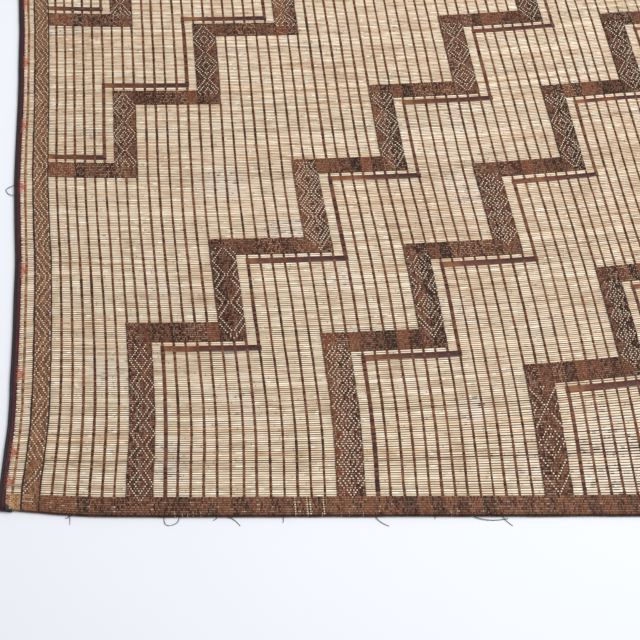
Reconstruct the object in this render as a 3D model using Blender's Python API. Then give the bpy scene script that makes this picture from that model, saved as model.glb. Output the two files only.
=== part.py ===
"""Reed and leather floor mat, lying flat on the floor.

Metres, +Z up. The reeds run along X and the leather thongs along Y, with the front edge
towards -Y. The origin is the middle of the mat's box, on its underside. Places on the mat
are given on its own grid, as a distance across from the first thong line and a distance
along from the front edge, and lay() says where such a place lies on the floor.
"""

import math

import bmesh
import bpy
from mathutils import Vector

# Driving dimensions, in metres
THONG_PITCH = 0.020
THONG_COLUMNS = 80
REED_PITCH = 0.0041
REED_ROWS = 630
GAP = 0.0003

# Heights above the floor
REED_TOP = 0.0046
THONG_TOP = 0.0056
BAND_UNDER = THONG_TOP + GAP
BAND_TOP = 0.0069
GUARD_UNDER = REED_TOP + GAP
BINDING_HEIGHT = 0.0075
CORD_HEIGHT = 0.0045

# Raised thongs
THONG_HALF_CREST = 0.0013
THONG_SLOPE = 0.0008

# Side border, from the first thong line outwards
GUARD_INNER = 0.0012
GUARD_OUTER = 0.0275
OUTER_THONG = 0.038
REED_END = 0.0460
BINDING_WIDTH = 0.0107
BINDING_OVERRUN = 0.0035
LACING_WIDTH = 0.0025
LASHING_REACH = 0.0075
LASHING_LENGTH = 0.024
LASHING_SPACING = 0.172
KNOWN_LASHINGS = (0.057, 0.114, 0.267, 0.488, 0.681, 0.835)

# Bands and step lines, counted in thong columns and reed rows
END_BAND_ROWS = 8
STEP_COLUMNS = 8
BAND_COLUMNS = 2
BAND_ROWS = 9
LINE_OFFSET = 3
LINE_HALF_WIDTH = 0.0024
LINE_BELOW_ROWS = 4.2
LINE_ROWS = 1.5
STEP_ROWS = 46

# The five stairs that start at the front edge. The same five, turned half round about the
# middle of the mat, start at the back edge.
# first_column, rows of the cross bands' lower edges as far as they are known, and how many
# rows the first cross band has
STAIRS = (
    {"first_column": 7, "known_rows": (81, 127, 173), "first_band_rows": 10},
    {"first_column": 23, "known_rows": (74, 121, 166), "first_band_rows": 10},
    {"first_column": 39, "known_rows": (53, 101), "first_band_rows": 10},
    {"first_column": 55, "known_rows": (63,), "first_band_rows": BAND_ROWS},
    {"first_column": 71, "known_rows": (70,), "first_band_rows": BAND_ROWS},
)

# How the mat lies: the rows sag towards the front, the front edge runs aslant, the left
# side is drawn in towards the middle, its outermost reed ends wander a little more, the
# front left corner curls back, and soft swells push the thongs sideways
ROW_SAG = 0.040
SAG_SPAN = 0.8
ROW_LIFT = 0.012
LIFT_SPAN = 0.4
FRONT_SLOPE = 0.0865
FRONT_STRAIGHT = 0.9
FRONT_EASE = 0.75
FRONT_REST = 0.060
FRONT_DEPTH = 0.22
CORNER_LIFT = 0.0125
CORNER_START = 0.13
CORNER_SPAN = 0.18
CORNER_POWER = 2
CORNER_DEPTH = 0.05
DRAW_IN_REACH = 0.07
SIDE_RUN = (
    {"along": 0.0, "draw_in": 0.0100, "edge_in": -0.0038},
    {"along": 0.055, "draw_in": 0.0110, "edge_in": -0.0041},
    {"along": 0.165, "draw_in": 0.0162, "edge_in": -0.0040},
    {"along": 0.26, "draw_in": 0.0180, "edge_in": -0.0039},
    {"along": 0.51, "draw_in": 0.0236, "edge_in": -0.0022},
    {"along": 0.70, "draw_in": 0.0216, "edge_in": -0.0023},
    {"along": 0.90, "draw_in": 0.0235, "edge_in": -0.0007},
    {"along": 1.10, "draw_in": 0.0225, "edge_in": 0.0},
    {"along": 1.50, "draw_in": 0.0130, "edge_in": 0.0},
    {"along": 2.00, "draw_in": 0.0030, "edge_in": 0.0},
    {"along": REED_PITCH * REED_ROWS, "draw_in": 0.0, "edge_in": 0.0},
)
SWELLS = (
    {"across": 0.51, "along": 0.00, "reach_across": 0.29, "reach_along": 0.27, "push": 0.0134},
    {"across": 0.51, "along": 0.00, "reach_across": 0.60, "reach_along": 0.13, "push": -0.0140},
    {"across": 0.59, "along": 0.64, "reach_across": 0.60, "reach_along": 0.25, "push": -0.0092},
    {"across": 0.60, "along": 0.51, "reach_across": 0.21, "reach_along": 0.27, "push": 0.0160},
    {"across": 0.89, "along": 0.51, "reach_across": 0.12, "reach_along": 0.44, "push": 0.0160},
    {"across": 0.076, "along": 0.31, "reach_across": 0.136, "reach_along": 0.37, "push": 0.0107},
)
STATIONS = (
    0.0, 0.055, 0.165, 0.26, 0.34, 0.42, 0.51, 0.60, 0.70, 0.80, 0.90, 1.10, 1.50, 2.00,
    REED_PITCH * REED_ROWS,
)

# Corner pieces
WRAP_END = 0.0300
WRAP_DEPTH = 0.0090
WRAP_TIP_DEPTH = 0.0040
WRAP_TOP = 0.0072

# Loose thread ends that lie on the floor, by where they start and the way they bend
THREAD_WIDTH = 0.0013
THREAD_HEIGHT = 0.0010
THREAD_STEPS = 6
FRONT_THREADS = (
    {"root": 0.050, "bend": 0.051, "bend_out": 0.008, "tip": 0.050, "tip_out": 0.017},
    {"root": 0.049, "bend": 0.048, "bend_out": 0.005, "tip": 0.043, "tip_out": 0.006},
    {"root": 0.198, "bend": 0.196, "bend_out": 0.016, "tip": 0.206, "tip_out": 0.015},
    {"root": 0.221, "bend": 0.220, "bend_out": 0.012, "tip": 0.207, "tip_out": 0.0145},
    {"root": 0.277, "bend": 0.279, "bend_out": 0.002, "tip": 0.272, "tip_out": 0.006},
    {"root": 0.293, "bend": 0.303, "bend_out": 0.002, "tip": 0.311, "tip_out": 0.016},
    {"root": 0.375, "bend": 0.376, "bend_out": 0.006, "tip": 0.374, "tip_out": 0.011},
    {"root": 0.512, "bend": 0.518, "bend_out": 0.012, "tip": 0.531, "tip_out": 0.017},
    {"root": 0.603, "bend": 0.604, "bend_out": 0.003, "tip": 0.602, "tip_out": 0.005},
    {"root": 0.663, "bend": 0.684, "bend_out": 0.011, "tip": 0.716, "tip_out": 0.004},
    {"root": 0.708, "bend": 0.712, "bend_out": 0.009, "tip": 0.721, "tip_out": 0.017},
)
SIDE_THREAD = {"low": 0.666, "high": 0.690, "tip": 0.682, "out": 0.0175}

FIELD_WIDTH = THONG_PITCH * THONG_COLUMNS
LENGTH = REED_PITCH * REED_ROWS
END_BAND = REED_PITCH * END_BAND_ROWS
WIDE_STEP = 4 * THONG_PITCH
FINE_STEP = 2 * THONG_PITCH


def ease_out(share):
    """A parabola that rises from 0 and levels off at 1."""
    share = min(max(share, 0.0), 1.0)
    return share * (2 - share)


def smooth(share):
    """A soft step from 0 to 1."""
    share = min(max(share, 0.0), 1.0)
    return share * share * (3 - 2 * share)


def row_drift(across):
    """How far a row of reeds has moved along the mat, away from the front edge."""
    sag = ROW_SAG * ease_out(across / SAG_SPAN)
    lift = ROW_LIFT * smooth((across - SAG_SPAN) / LIFT_SPAN)
    return lift - sag


def front_drift(across):
    """The drift of the front edge: aslant as far as the middle, then level."""
    if across < FRONT_STRAIGHT:
        return -FRONT_SLOPE * across
    share = min((across - FRONT_STRAIGHT) / FRONT_EASE, 1.0)
    start = (2 * share**3 - 3 * share**2 + 1) * FRONT_SLOPE * FRONT_STRAIGHT
    slope = (share**3 - 2 * share**2 + share) * FRONT_EASE * FRONT_SLOPE
    rest = (3 * share**2 - 2 * share**3) * FRONT_REST
    return -(start + slope + rest)


def side_run(along, column):
    """A column of the table of the left side's run, at a distance along."""
    along = min(max(along, 0.0), LENGTH)
    for row, after in zip(SIDE_RUN, SIDE_RUN[1:]):
        if along <= after["along"]:
            share = (along - row["along"]) / (after["along"] - row["along"])
            return row[column] + (after[column] - row[column]) * share
    return SIDE_RUN[-1][column]


def draw_in(across, along):
    """How far the left side is drawn in towards the middle."""
    inner = side_run(along, "draw_in") * math.exp(-max(across, 0.0) / DRAW_IN_REACH)
    outwards = max((-across - GUARD_OUTER) / (REED_END - GUARD_OUTER), 0.0)
    return inner + side_run(along, "edge_in") * min(outwards, 1.0)


def pushed(across, along):
    """How far the soft swells push a thong sideways."""
    total = 0.0
    for swell in SWELLS:
        away_across = (across - swell["across"]) / swell["reach_across"]
        away_along = (along - swell["along"]) / swell["reach_along"]
        total += swell["push"] * math.exp(-away_across**2 - away_along**2)
    return total


def corner_lift(across, along):
    """How far the front left corner curls back from the line of the front edge."""
    share = max((CORNER_START - across) / CORNER_SPAN, 0.0)
    return CORNER_LIFT * share**CORNER_POWER * math.exp(-along / CORNER_DEPTH)


def lay(across, along):
    """Floor place of a place on the mat's grid."""
    inside = smooth(along / FRONT_DEPTH)
    drift = (1 - inside) * front_drift(across) + inside * row_drift(across)
    drift += corner_lift(across, along)
    return across + draw_in(across, along) + pushed(across, along), along + drift


def material(name, colour, roughness):
    """A plain finish."""
    finish = bpy.data.materials.new(name)
    finish.use_nodes = True
    shader = finish.node_tree.nodes["Principled BSDF"]
    shader.inputs["Base Color"].default_value = (*colour, 1.0)
    shader.inputs["Roughness"].default_value = roughness
    shader.inputs["Metallic"].default_value = 0.0
    return finish


def add_object(name, mesh_builder, finish):
    """An object from a bmesh whose faces already point outwards."""
    mesh = bpy.data.meshes.new(name)
    mesh_builder.to_mesh(mesh)
    mesh_builder.free()
    mesh.materials.append(finish)
    piece = bpy.data.objects.new(name, mesh)
    bpy.context.scene.collection.objects.link(piece)
    return piece


def turned(places):
    """The same places after half a turn about the middle of the mat."""
    return [(FIELD_WIDTH - across, LENGTH - along) for across, along in places]


def mirrored(places):
    """The same places on the other side of the mat."""
    return [(FIELD_WIDTH - across, along) for across, along in reversed(places)]


def signed_area(outline):
    """Area inside an outline, positive where it runs anticlockwise seen from above."""
    pairs = zip(outline, outline[1:] + outline[:1])
    return sum(start[0] * end[1] - end[0] * start[1] for start, end in pairs) / 2


def shares_between(start, end, marks):
    """Where marks lie between start and end, as shares of the way."""
    if abs(end - start) < GAP:
        return []
    shares = [(mark - start) / (end - start) for mark in marks]
    return [share for share in shares if GAP < share < 1 - GAP]


def split_long_edges(outline, step):
    """The outline, anticlockwise, with points close enough to follow the lay."""
    if signed_area(outline) < 0:
        outline = list(reversed(outline))
    marks_across = [step * number for number in range(math.ceil(FIELD_WIDTH / step) + 1)]
    points = []
    for start, end in zip(outline, outline[1:] + outline[:1]):
        shares = shares_between(start[0], end[0], marks_across)
        shares += shares_between(start[1], end[1], STATIONS)
        for share in [0.0, *sorted(shares)]:
            points.append(tuple(a + (b - a) * share for a, b in zip(start, end)))
    return points


def flat_piece(name, outline, under, top, finish, step=WIDE_STEP):
    """A flat strip of one thickness with the outline given on the mat's grid."""
    builder = bmesh.new()
    places = [lay(*place) for place in split_long_edges(outline, step)]
    lower = [builder.verts.new((x, y, under)) for x, y in places]
    upper = [builder.verts.new((x, y, top)) for x, y in places]
    builder.faces.new(upper)
    builder.faces.new(list(reversed(lower)))
    for index in range(len(places)):
        after = (index + 1) % len(places)
        builder.faces.new((lower[index], lower[after], upper[after], upper[index]))
    return add_object(name, builder, finish)


def thong_lines():
    """Distances across of the thongs that stand apart, with the two outer ones."""
    inner = [column * THONG_PITCH for column in range(1, THONG_COLUMNS)]
    return [-OUTER_THONG, *inner, FIELD_WIDTH + OUTER_THONG]


def reed_field(finish):
    """The mat of reeds, one slab with each thong raised along its top."""
    columns = [(-REED_END, REED_TOP)]
    for line in thong_lines():
        columns += [
            (line - THONG_HALF_CREST - THONG_SLOPE, REED_TOP),
            (line - THONG_HALF_CREST, THONG_TOP),
            (line + THONG_HALF_CREST, THONG_TOP),
            (line + THONG_HALF_CREST + THONG_SLOPE, REED_TOP),
        ]
    columns.append((FIELD_WIDTH + REED_END, REED_TOP))
    builder = bmesh.new()
    top = [
        [builder.verts.new((*lay(across, along), height)) for across, height in columns]
        for along in STATIONS
    ]
    for row, after in zip(top, top[1:]):
        for index in range(len(columns) - 1):
            builder.faces.new((row[index], row[index + 1], after[index + 1], after[index]))
    rim = top[0][:-1] + [row[-1] for row in top[:-1]] + top[-1][:0:-1]
    rim += [row[0] for row in reversed(top[1:])]
    foot = [builder.verts.new((vert.co.x, vert.co.y, 0.0)) for vert in rim]
    builder.faces.new(list(reversed(foot)))
    for index in range(len(rim)):
        after = (index + 1) % len(rim)
        builder.faces.new((foot[index], foot[after], rim[after], rim[index]))
    return add_object("reed_field", builder, finish)


def stair_levels(stair):
    """Columns of the stair's uprights, and the lower edge and height of each cross band in rows."""
    last_column = THONG_COLUMNS - BAND_COLUMNS
    columns = list(range(stair["first_column"], last_column, STEP_COLUMNS))
    rows = list(stair["known_rows"])[: len(columns)]
    while len(rows) < len(columns):
        rows.append(rows[-1] + STEP_ROWS)
    heights = [stair["first_band_rows"]] + [BAND_ROWS] * (len(rows) - 1)
    return columns, rows, heights


def stair_outline(lefts, rights, lows, highs, start, end):
    """Outline of a stair of uprights and cross bands that climbs to the right."""
    going_up = [(lefts[0], start)]
    for index, high in enumerate(highs):
        beyond = lefts[index + 1] if index + 1 < len(lefts) else end
        going_up += [(lefts[index], high), (beyond, high)]
    going_down = [(rights[0], start)]
    for index, low in enumerate(lows):
        beyond = rights[index + 1] if index + 1 < len(rights) else end
        going_down += [(rights[index], low), (beyond, low)]
    return list(reversed(going_up)) + going_down


def band_outline(stair):
    """Outline of the broad woven stair."""
    columns, rows, heights = stair_levels(stair)
    lefts = [column * THONG_PITCH for column in columns]
    rights = [left + BAND_COLUMNS * THONG_PITCH for left in lefts]
    lows = [row * REED_PITCH for row in rows]
    highs = [low + height * REED_PITCH for low, height in zip(lows, heights)]
    return stair_outline(lefts, rights, lows, highs, END_BAND + GAP, FIELD_WIDTH - GUARD_INNER - GAP)


def line_outline(stair):
    """Outline of the narrow step line that follows a stair below and to its right."""
    columns, rows, _ = stair_levels(stair)
    middles = [(column + LINE_OFFSET) * THONG_PITCH for column in columns]
    lefts = [middle - LINE_HALF_WIDTH for middle in middles]
    rights = [middle + LINE_HALF_WIDTH for middle in middles]
    lows = [(row - LINE_BELOW_ROWS) * REED_PITCH for row in rows]
    highs = [low + LINE_ROWS * REED_PITCH for low in lows]
    return stair_outline(lefts, rights, lows, highs, END_BAND + GAP, FIELD_WIDTH - GUARD_INNER - GAP)


def stairs(band_finish, line_finish):
    """Both sets of stairs with their step lines."""
    for number, stair in enumerate(STAIRS, start=1):
        band = band_outline(stair)
        line = line_outline(stair)
        flat_piece(f"stair_band_front_{number}", band, BAND_UNDER, BAND_TOP, band_finish)
        flat_piece(f"stair_band_back_{number}", turned(band), BAND_UNDER, BAND_TOP, band_finish)
        flat_piece(f"step_line_front_{number}", line, BAND_UNDER, BAND_TOP, line_finish)
        flat_piece(f"step_line_back_{number}", turned(line), BAND_UNDER, BAND_TOP, line_finish)


def rectangle(left, right, low, high):
    """A four-cornered outline."""
    return [(left, low), (right, low), (right, high), (left, high)]


def borders(finish, corner_finish):
    """Guard bands down the sides, end bands and the four corner patches."""
    guard = rectangle(-GUARD_OUTER, GUARD_INNER, 0.0, LENGTH)
    flat_piece("guard_band_left", guard, GUARD_UNDER, BAND_TOP, finish)
    flat_piece("guard_band_right", mirrored(guard), GUARD_UNDER, BAND_TOP, finish)
    end = rectangle(GUARD_INNER + GAP, FIELD_WIDTH - GUARD_INNER - GAP, 0.0, END_BAND)
    flat_piece("end_band_front", end, BAND_UNDER, BAND_TOP, finish, FINE_STEP)
    flat_piece("end_band_back", turned(end), BAND_UNDER, BAND_TOP, finish, FINE_STEP)
    patch_left = -REED_END + LACING_WIDTH + GAP
    patch = rectangle(patch_left, -GUARD_OUTER - GAP, WRAP_DEPTH + GAP, END_BAND)
    for name, places in four_corners(patch):
        flat_piece(f"corner_patch_{name}", places, BAND_UNDER, BAND_TOP, corner_finish)


def four_corners(places):
    """The outline of the front left corner's piece, carried to each corner."""
    return (
        ("front_left", places),
        ("front_right", mirrored(places)),
        ("back_left", turned(mirrored(places))),
        ("back_right", turned(places)),
    )


def lashing_places():
    """Distances along of the lashings, as in the known ones and then evenly."""
    places = list(KNOWN_LASHINGS)
    while places[-1] + LASHING_SPACING < LENGTH - KNOWN_LASHINGS[0] / 2:
        places.append(places[-1] + LASHING_SPACING)
    return places


def lacing_outline():
    """Outline of the red lacing beside the left binding, with its lashings as teeth."""
    outer = -REED_END
    inner = outer + LACING_WIDTH
    low = WRAP_DEPTH + GAP
    high = LENGTH - low
    outline = [(outer, low), (inner, low)]
    for middle in lashing_places():
        outline += [
            (inner, middle - LASHING_LENGTH / 2),
            (inner + LASHING_REACH, middle),
            (inner, middle + LASHING_LENGTH / 2),
        ]
    return outline + [(inner, high), (outer, high)]


def binding_profile():
    """Cross-section of the rolled binding, as shares of its width and height."""
    return (
        (0.30, 0.0), (0.70, 0.0), (0.94, 0.14), (1.0, 0.42), (0.93, 0.74),
        (0.70, 0.96), (0.45, 1.0), (0.18, 0.86), (0.03, 0.55), (0.06, 0.18),
    )


def binding(name, side, finish):
    """The rolled leather binding of one side."""
    builder = bmesh.new()
    rings = []
    for along in (-BINDING_OVERRUN, *STATIONS, LENGTH + BINDING_OVERRUN):
        ring = []
        for share, height in binding_profile():
            across = -REED_END - GAP - BINDING_WIDTH * (1 - share)
            if side == "right":
                across = FIELD_WIDTH - across
            ring.append(builder.verts.new((*lay(across, along), BINDING_HEIGHT * height)))
        rings.append(ring)
    for ring, after in zip(rings, rings[1:]):
        for index in range(len(ring)):
            other = (index + 1) % len(ring)
            builder.faces.new((ring[index], ring[other], after[other], after[index]))
    builder.faces.new(rings[0])
    builder.faces.new(list(reversed(rings[-1])))
    bmesh.ops.recalc_face_normals(builder, faces=builder.faces)
    return add_object(name, builder, finish)


def bent_line(start, bend, tip):
    """Places on a smooth curve from start to tip, drawn towards the bend."""
    places = []
    for step in range(THREAD_STEPS + 1):
        share = step / THREAD_STEPS
        weights = ((1 - share) ** 2, 2 * share * (1 - share), share**2)
        places.append(tuple(
            sum(weight * place[axis] for weight, place in zip(weights, (start, bend, tip)))
            for axis in range(2)
        ))
    return places


def strand(places):
    """A four-sided thread end that lies on the floor along the places given."""
    builder = bmesh.new()
    floor_places = [Vector((*lay(*place), 0.0)) for place in places]
    rings = []
    for index, place in enumerate(floor_places):
        before = floor_places[max(index - 1, 0)]
        after = floor_places[min(index + 1, len(floor_places) - 1)]
        ahead = (after - before).normalized()
        side = Vector((-ahead.y, ahead.x, 0.0)) * THREAD_WIDTH / 2
        lift = Vector((0.0, 0.0, THREAD_HEIGHT))
        corners = (place - side, place + side, place + side + lift, place - side + lift)
        rings.append([builder.verts.new(corner) for corner in corners])
    for ring, after in zip(rings, rings[1:]):
        for index in range(4):
            other = (index + 1) % 4
            builder.faces.new((ring[index], ring[other], after[other], after[index]))
    builder.faces.new(rings[0])
    builder.faces.new(list(reversed(rings[-1])))
    bmesh.ops.recalc_face_normals(builder, faces=builder.faces)
    return builder


def fuse_strands(piece, routes, finish):
    """Joins thread ends to the piece that holds their roots."""
    for number, route in enumerate(routes):
        thread = add_object(f"{piece.name}_thread_{number}", strand(route), finish)
        thread.hide_render = True
        thread.display_type = "WIRE"
        join = piece.modifiers.new(f"thread_{number}", "BOOLEAN")
        join.operation = "UNION"
        join.solver = "EXACT"
        join.object = thread


def edge_cords(finish):
    """The cord that finishes the front and back edges, with the front one's loose threads."""
    outline = rectangle(-WRAP_END + GAP, FIELD_WIDTH + WRAP_END - GAP, -BINDING_OVERRUN + 0.0005, -GAP)
    front = flat_piece("edge_cord_front", outline, 0.0, CORD_HEIGHT, finish, FINE_STEP)
    flat_piece("edge_cord_back", turned(outline), 0.0, CORD_HEIGHT, finish, FINE_STEP)
    root = -BINDING_OVERRUN / 2
    routes = [
        bent_line(
            (thread["root"], root),
            (thread["bend"], root - thread["bend_out"]),
            (thread["tip"], root - thread["tip_out"]),
        )
        for thread in FRONT_THREADS
    ]
    fuse_strands(front, routes, finish)


def side_thread_route():
    """The loop of thread beside the left binding, with both its ends in the leather."""
    hold = -REED_END - BINDING_WIDTH / 2
    outside = -REED_END - BINDING_WIDTH - SIDE_THREAD["out"]
    tip = (outside, SIDE_THREAD["tip"])
    middle_high = (SIDE_THREAD["high"] + SIDE_THREAD["tip"]) / 2
    first = bent_line((hold, SIDE_THREAD["high"]), (hold - 0.008, middle_high + 0.003), tip)
    second = bent_line(tip, (outside + 0.004, SIDE_THREAD["low"]), (hold, SIDE_THREAD["low"]))
    return first + second[1:]


def corner_wrap(name, side, end, finish):
    """The end of the binding, folded round one corner of the mat."""
    section = (
        (-BINDING_OVERRUN, 0.0), (-GAP, 0.0), (-GAP, BAND_UNDER), (None, BAND_UNDER),
        (None, WRAP_TOP), (-BINDING_OVERRUN, WRAP_TOP),
    )
    builder = bmesh.new()
    rings = []
    for across, depth in ((-REED_END, WRAP_DEPTH), (-WRAP_END, WRAP_TIP_DEPTH)):
        ring = []
        for along, height in section:
            place = (across, depth if along is None else along)
            if side == "right":
                place = (FIELD_WIDTH - place[0], place[1])
            if end == "back":
                place = (place[0], LENGTH - place[1])
            ring.append(builder.verts.new((*lay(*place), height)))
        rings.append(ring)
    for index in range(len(section)):
        other = (index + 1) % len(section)
        builder.faces.new((rings[0][index], rings[0][other], rings[1][other], rings[1][index]))
    builder.faces.new(rings[0])
    builder.faces.new(list(reversed(rings[1])))
    bmesh.ops.recalc_face_normals(builder, faces=builder.faces)
    return add_object(name, builder, finish)


def centre_on_origin():
    """Moves every mesh so that the middle of the mat's underside is the origin."""
    pieces = [piece for piece in bpy.context.scene.objects if piece.type == "MESH"]
    corners = [vert.co for piece in pieces for vert in piece.data.vertices]
    middle = Vector(
        [(min(corner[axis] for corner in corners) + max(corner[axis] for corner in corners)) / 2
         for axis in range(2)] + [0.0]
    )
    for piece in pieces:
        for vert in piece.data.vertices:
            vert.co -= middle


def build():
    """The whole mat."""
    for old in list(bpy.data.objects):
        bpy.data.objects.remove(old, do_unlink=True)
    reed = material("reed", (0.58, 0.45, 0.28), 0.55)
    woven = material("woven_leather", (0.115, 0.045, 0.025), 0.6)
    dark = material("dark_leather", (0.07, 0.025, 0.015), 0.6)
    ochre = material("ochre_leather", (0.25, 0.13, 0.05), 0.65)
    black = material("black_leather", (0.018, 0.012, 0.016), 0.5)
    red = material("red_leather", (0.28, 0.03, 0.03), 0.55)
    cord = material("edge_cord", (0.05, 0.03, 0.025), 0.7)
    reed_field(reed)
    stairs(woven, dark)
    borders(woven, ochre)
    lacing = lacing_outline()
    flat_piece("lacing_left", lacing, BAND_UNDER, WRAP_TOP, red)
    flat_piece("lacing_right", mirrored(lacing), BAND_UNDER, WRAP_TOP, red)
    left = binding("binding_left", "left", black)
    binding("binding_right", "right", black)
    fuse_strands(left, [side_thread_route()], black)
    for end in ("front", "back"):
        for side in ("left", "right"):
            corner_wrap(f"corner_wrap_{end}_{side}", side, end, black)
    edge_cords(cord)
    centre_on_origin()


build()
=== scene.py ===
"""Looks of a floor mat of reeds and leather that lies flat on the floor.

Metres, +Z up. The reeds run along X and the leather thongs along Y, with the front edge
towards -Y. Places are given on the mat's own grid, as a distance across from the first
thong line and a distance along from the front edge. MatGrid.lay says where such a place
lies on the floor, as in the construction that the frame holds.
"""

import logging
import math
from dataclasses import dataclass, field, replace
from enum import Enum
from functools import cache, cached_property

import bpy
import numpy as np
from mathutils import Matrix, Vector


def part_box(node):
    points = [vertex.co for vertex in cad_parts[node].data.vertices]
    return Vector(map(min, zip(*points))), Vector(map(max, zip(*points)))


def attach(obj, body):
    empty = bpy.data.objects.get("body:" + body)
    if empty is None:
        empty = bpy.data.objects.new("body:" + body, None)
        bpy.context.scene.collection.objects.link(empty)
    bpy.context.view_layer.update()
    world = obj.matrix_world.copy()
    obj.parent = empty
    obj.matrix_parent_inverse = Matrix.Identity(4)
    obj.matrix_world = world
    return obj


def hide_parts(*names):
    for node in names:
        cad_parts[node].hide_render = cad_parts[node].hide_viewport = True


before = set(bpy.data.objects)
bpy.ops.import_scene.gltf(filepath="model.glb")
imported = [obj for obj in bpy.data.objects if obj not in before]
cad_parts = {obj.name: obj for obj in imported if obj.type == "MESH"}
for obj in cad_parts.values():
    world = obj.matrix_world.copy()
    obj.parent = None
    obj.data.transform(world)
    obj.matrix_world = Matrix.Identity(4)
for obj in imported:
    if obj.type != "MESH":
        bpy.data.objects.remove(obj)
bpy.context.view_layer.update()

LOG = logging.getLogger("mat")
ROOT = "root"
SHORTEST = 1e-6

# What a mesh carries for its finishes: places on the mat, dots, and dark marks, which are black strands,
# dark spots and painted shade along the bands' edges
LIE = "lie"
DOT = "dot"
SHADE = "shade"

# Types
Array = np.ndarray
Group = bpy.types.NodeTree
Material = bpy.types.Material
Node = bpy.types.Node
Socket = bpy.types.NodeSocket
Piece = bpy.types.Object
Pair = tuple[float, float]
Triple = tuple[float, float, float]
Marks = tuple[float, ...]
Stops = tuple[tuple[float, Triple], ...]
Value = Socket | float | Marks


class Side(Enum):
    """Long sides of the mat."""

    LEFT = "left"
    RIGHT = "right"


class End(Enum):
    """Short sides of the mat."""

    FRONT = "front"
    BACK = "back"


@dataclass(frozen=True)
class Diamonds:
    """Chart of an upright's nested diamonds, in rows and strands.

    The lowest centre is counted from the foot of the upright, and the last row from the foot
    of the cross band above it. Each ring is given as strands to the side and rows up.
    """

    centre: float
    period: float
    last: int
    rings: tuple[Pair, ...]


class Chart(Enum):
    """Traditional diamond charts of the uprights."""

    WAISTED = Diamonds(13.0, 11.6, -2, ((8.0, 8.0), (4.0, 4.0)))
    CROSSED = Diamonds(12.0, 15.0, 3, ((8.0, 8.0), (11.5, 11.5)))
    LATTICE = Diamonds(11.7, 15.0, 6, ((8.0, 8.0), (5.5, 5.5), (3.0, 3.0), (11.0, 11.0)))
    CLOSE = Diamonds(14.0, 8.2, 3, ((8.0, 7.0), (5.0, 4.5), (2.0, 2.0)))
    LARGE = Diamonds(20.8, 21.0, 2, ((16.3, 16.3), (12.6, 12.6), (8.0, 6.6), (4.0, 4.0), (1.0, 1.0)))
    EVEN = Diamonds(11.5, 9.0, 1, ((8.0, 7.0), (5.0, 4.0), (2.0, 2.0)))
    SINGLE = Diamonds(28.0, 28.0, -2, ((20.0, 20.0), (14.0, 14.0), (8.0, 6.0), (4.0, 3.0)))
    SMALL = Diamonds(10.0, 10.0, 0, ((7.0, 6.0), (4.0, 3.0), (1.0, 1.0)))
    NESTED = Diamonds(11.0, 18.0, 2, ((9.5, 9.5), (6.5, 6.5), (3.0, 3.0)))


def soft_step(share: Array) -> Array:
    """A soft step from 0 to 1."""
    share = np.clip(share, 0.0, 1.0)
    return share * share * (3 - 2 * share)


def wander(rng: np.random.Generator, runs: int, samples: int, knots: int) -> Array:
    """Smooth random runs between -1 and 1.

    Args:
        rng: Source of the knots' values.
        runs: How many runs there are.
        samples: How many values each run has.
        knots: How many random values each run passes through.

    Returns:
        An array of runs by samples.
    """
    values = rng.uniform(-1.0, 1.0, (runs, knots))
    where = np.linspace(0, knots - 1, samples)
    first = np.minimum(where.astype(int), knots - 2)
    share = soft_step(where - first)
    return values[:, first] * (1 - share) + values[:, first + 1] * share


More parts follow.
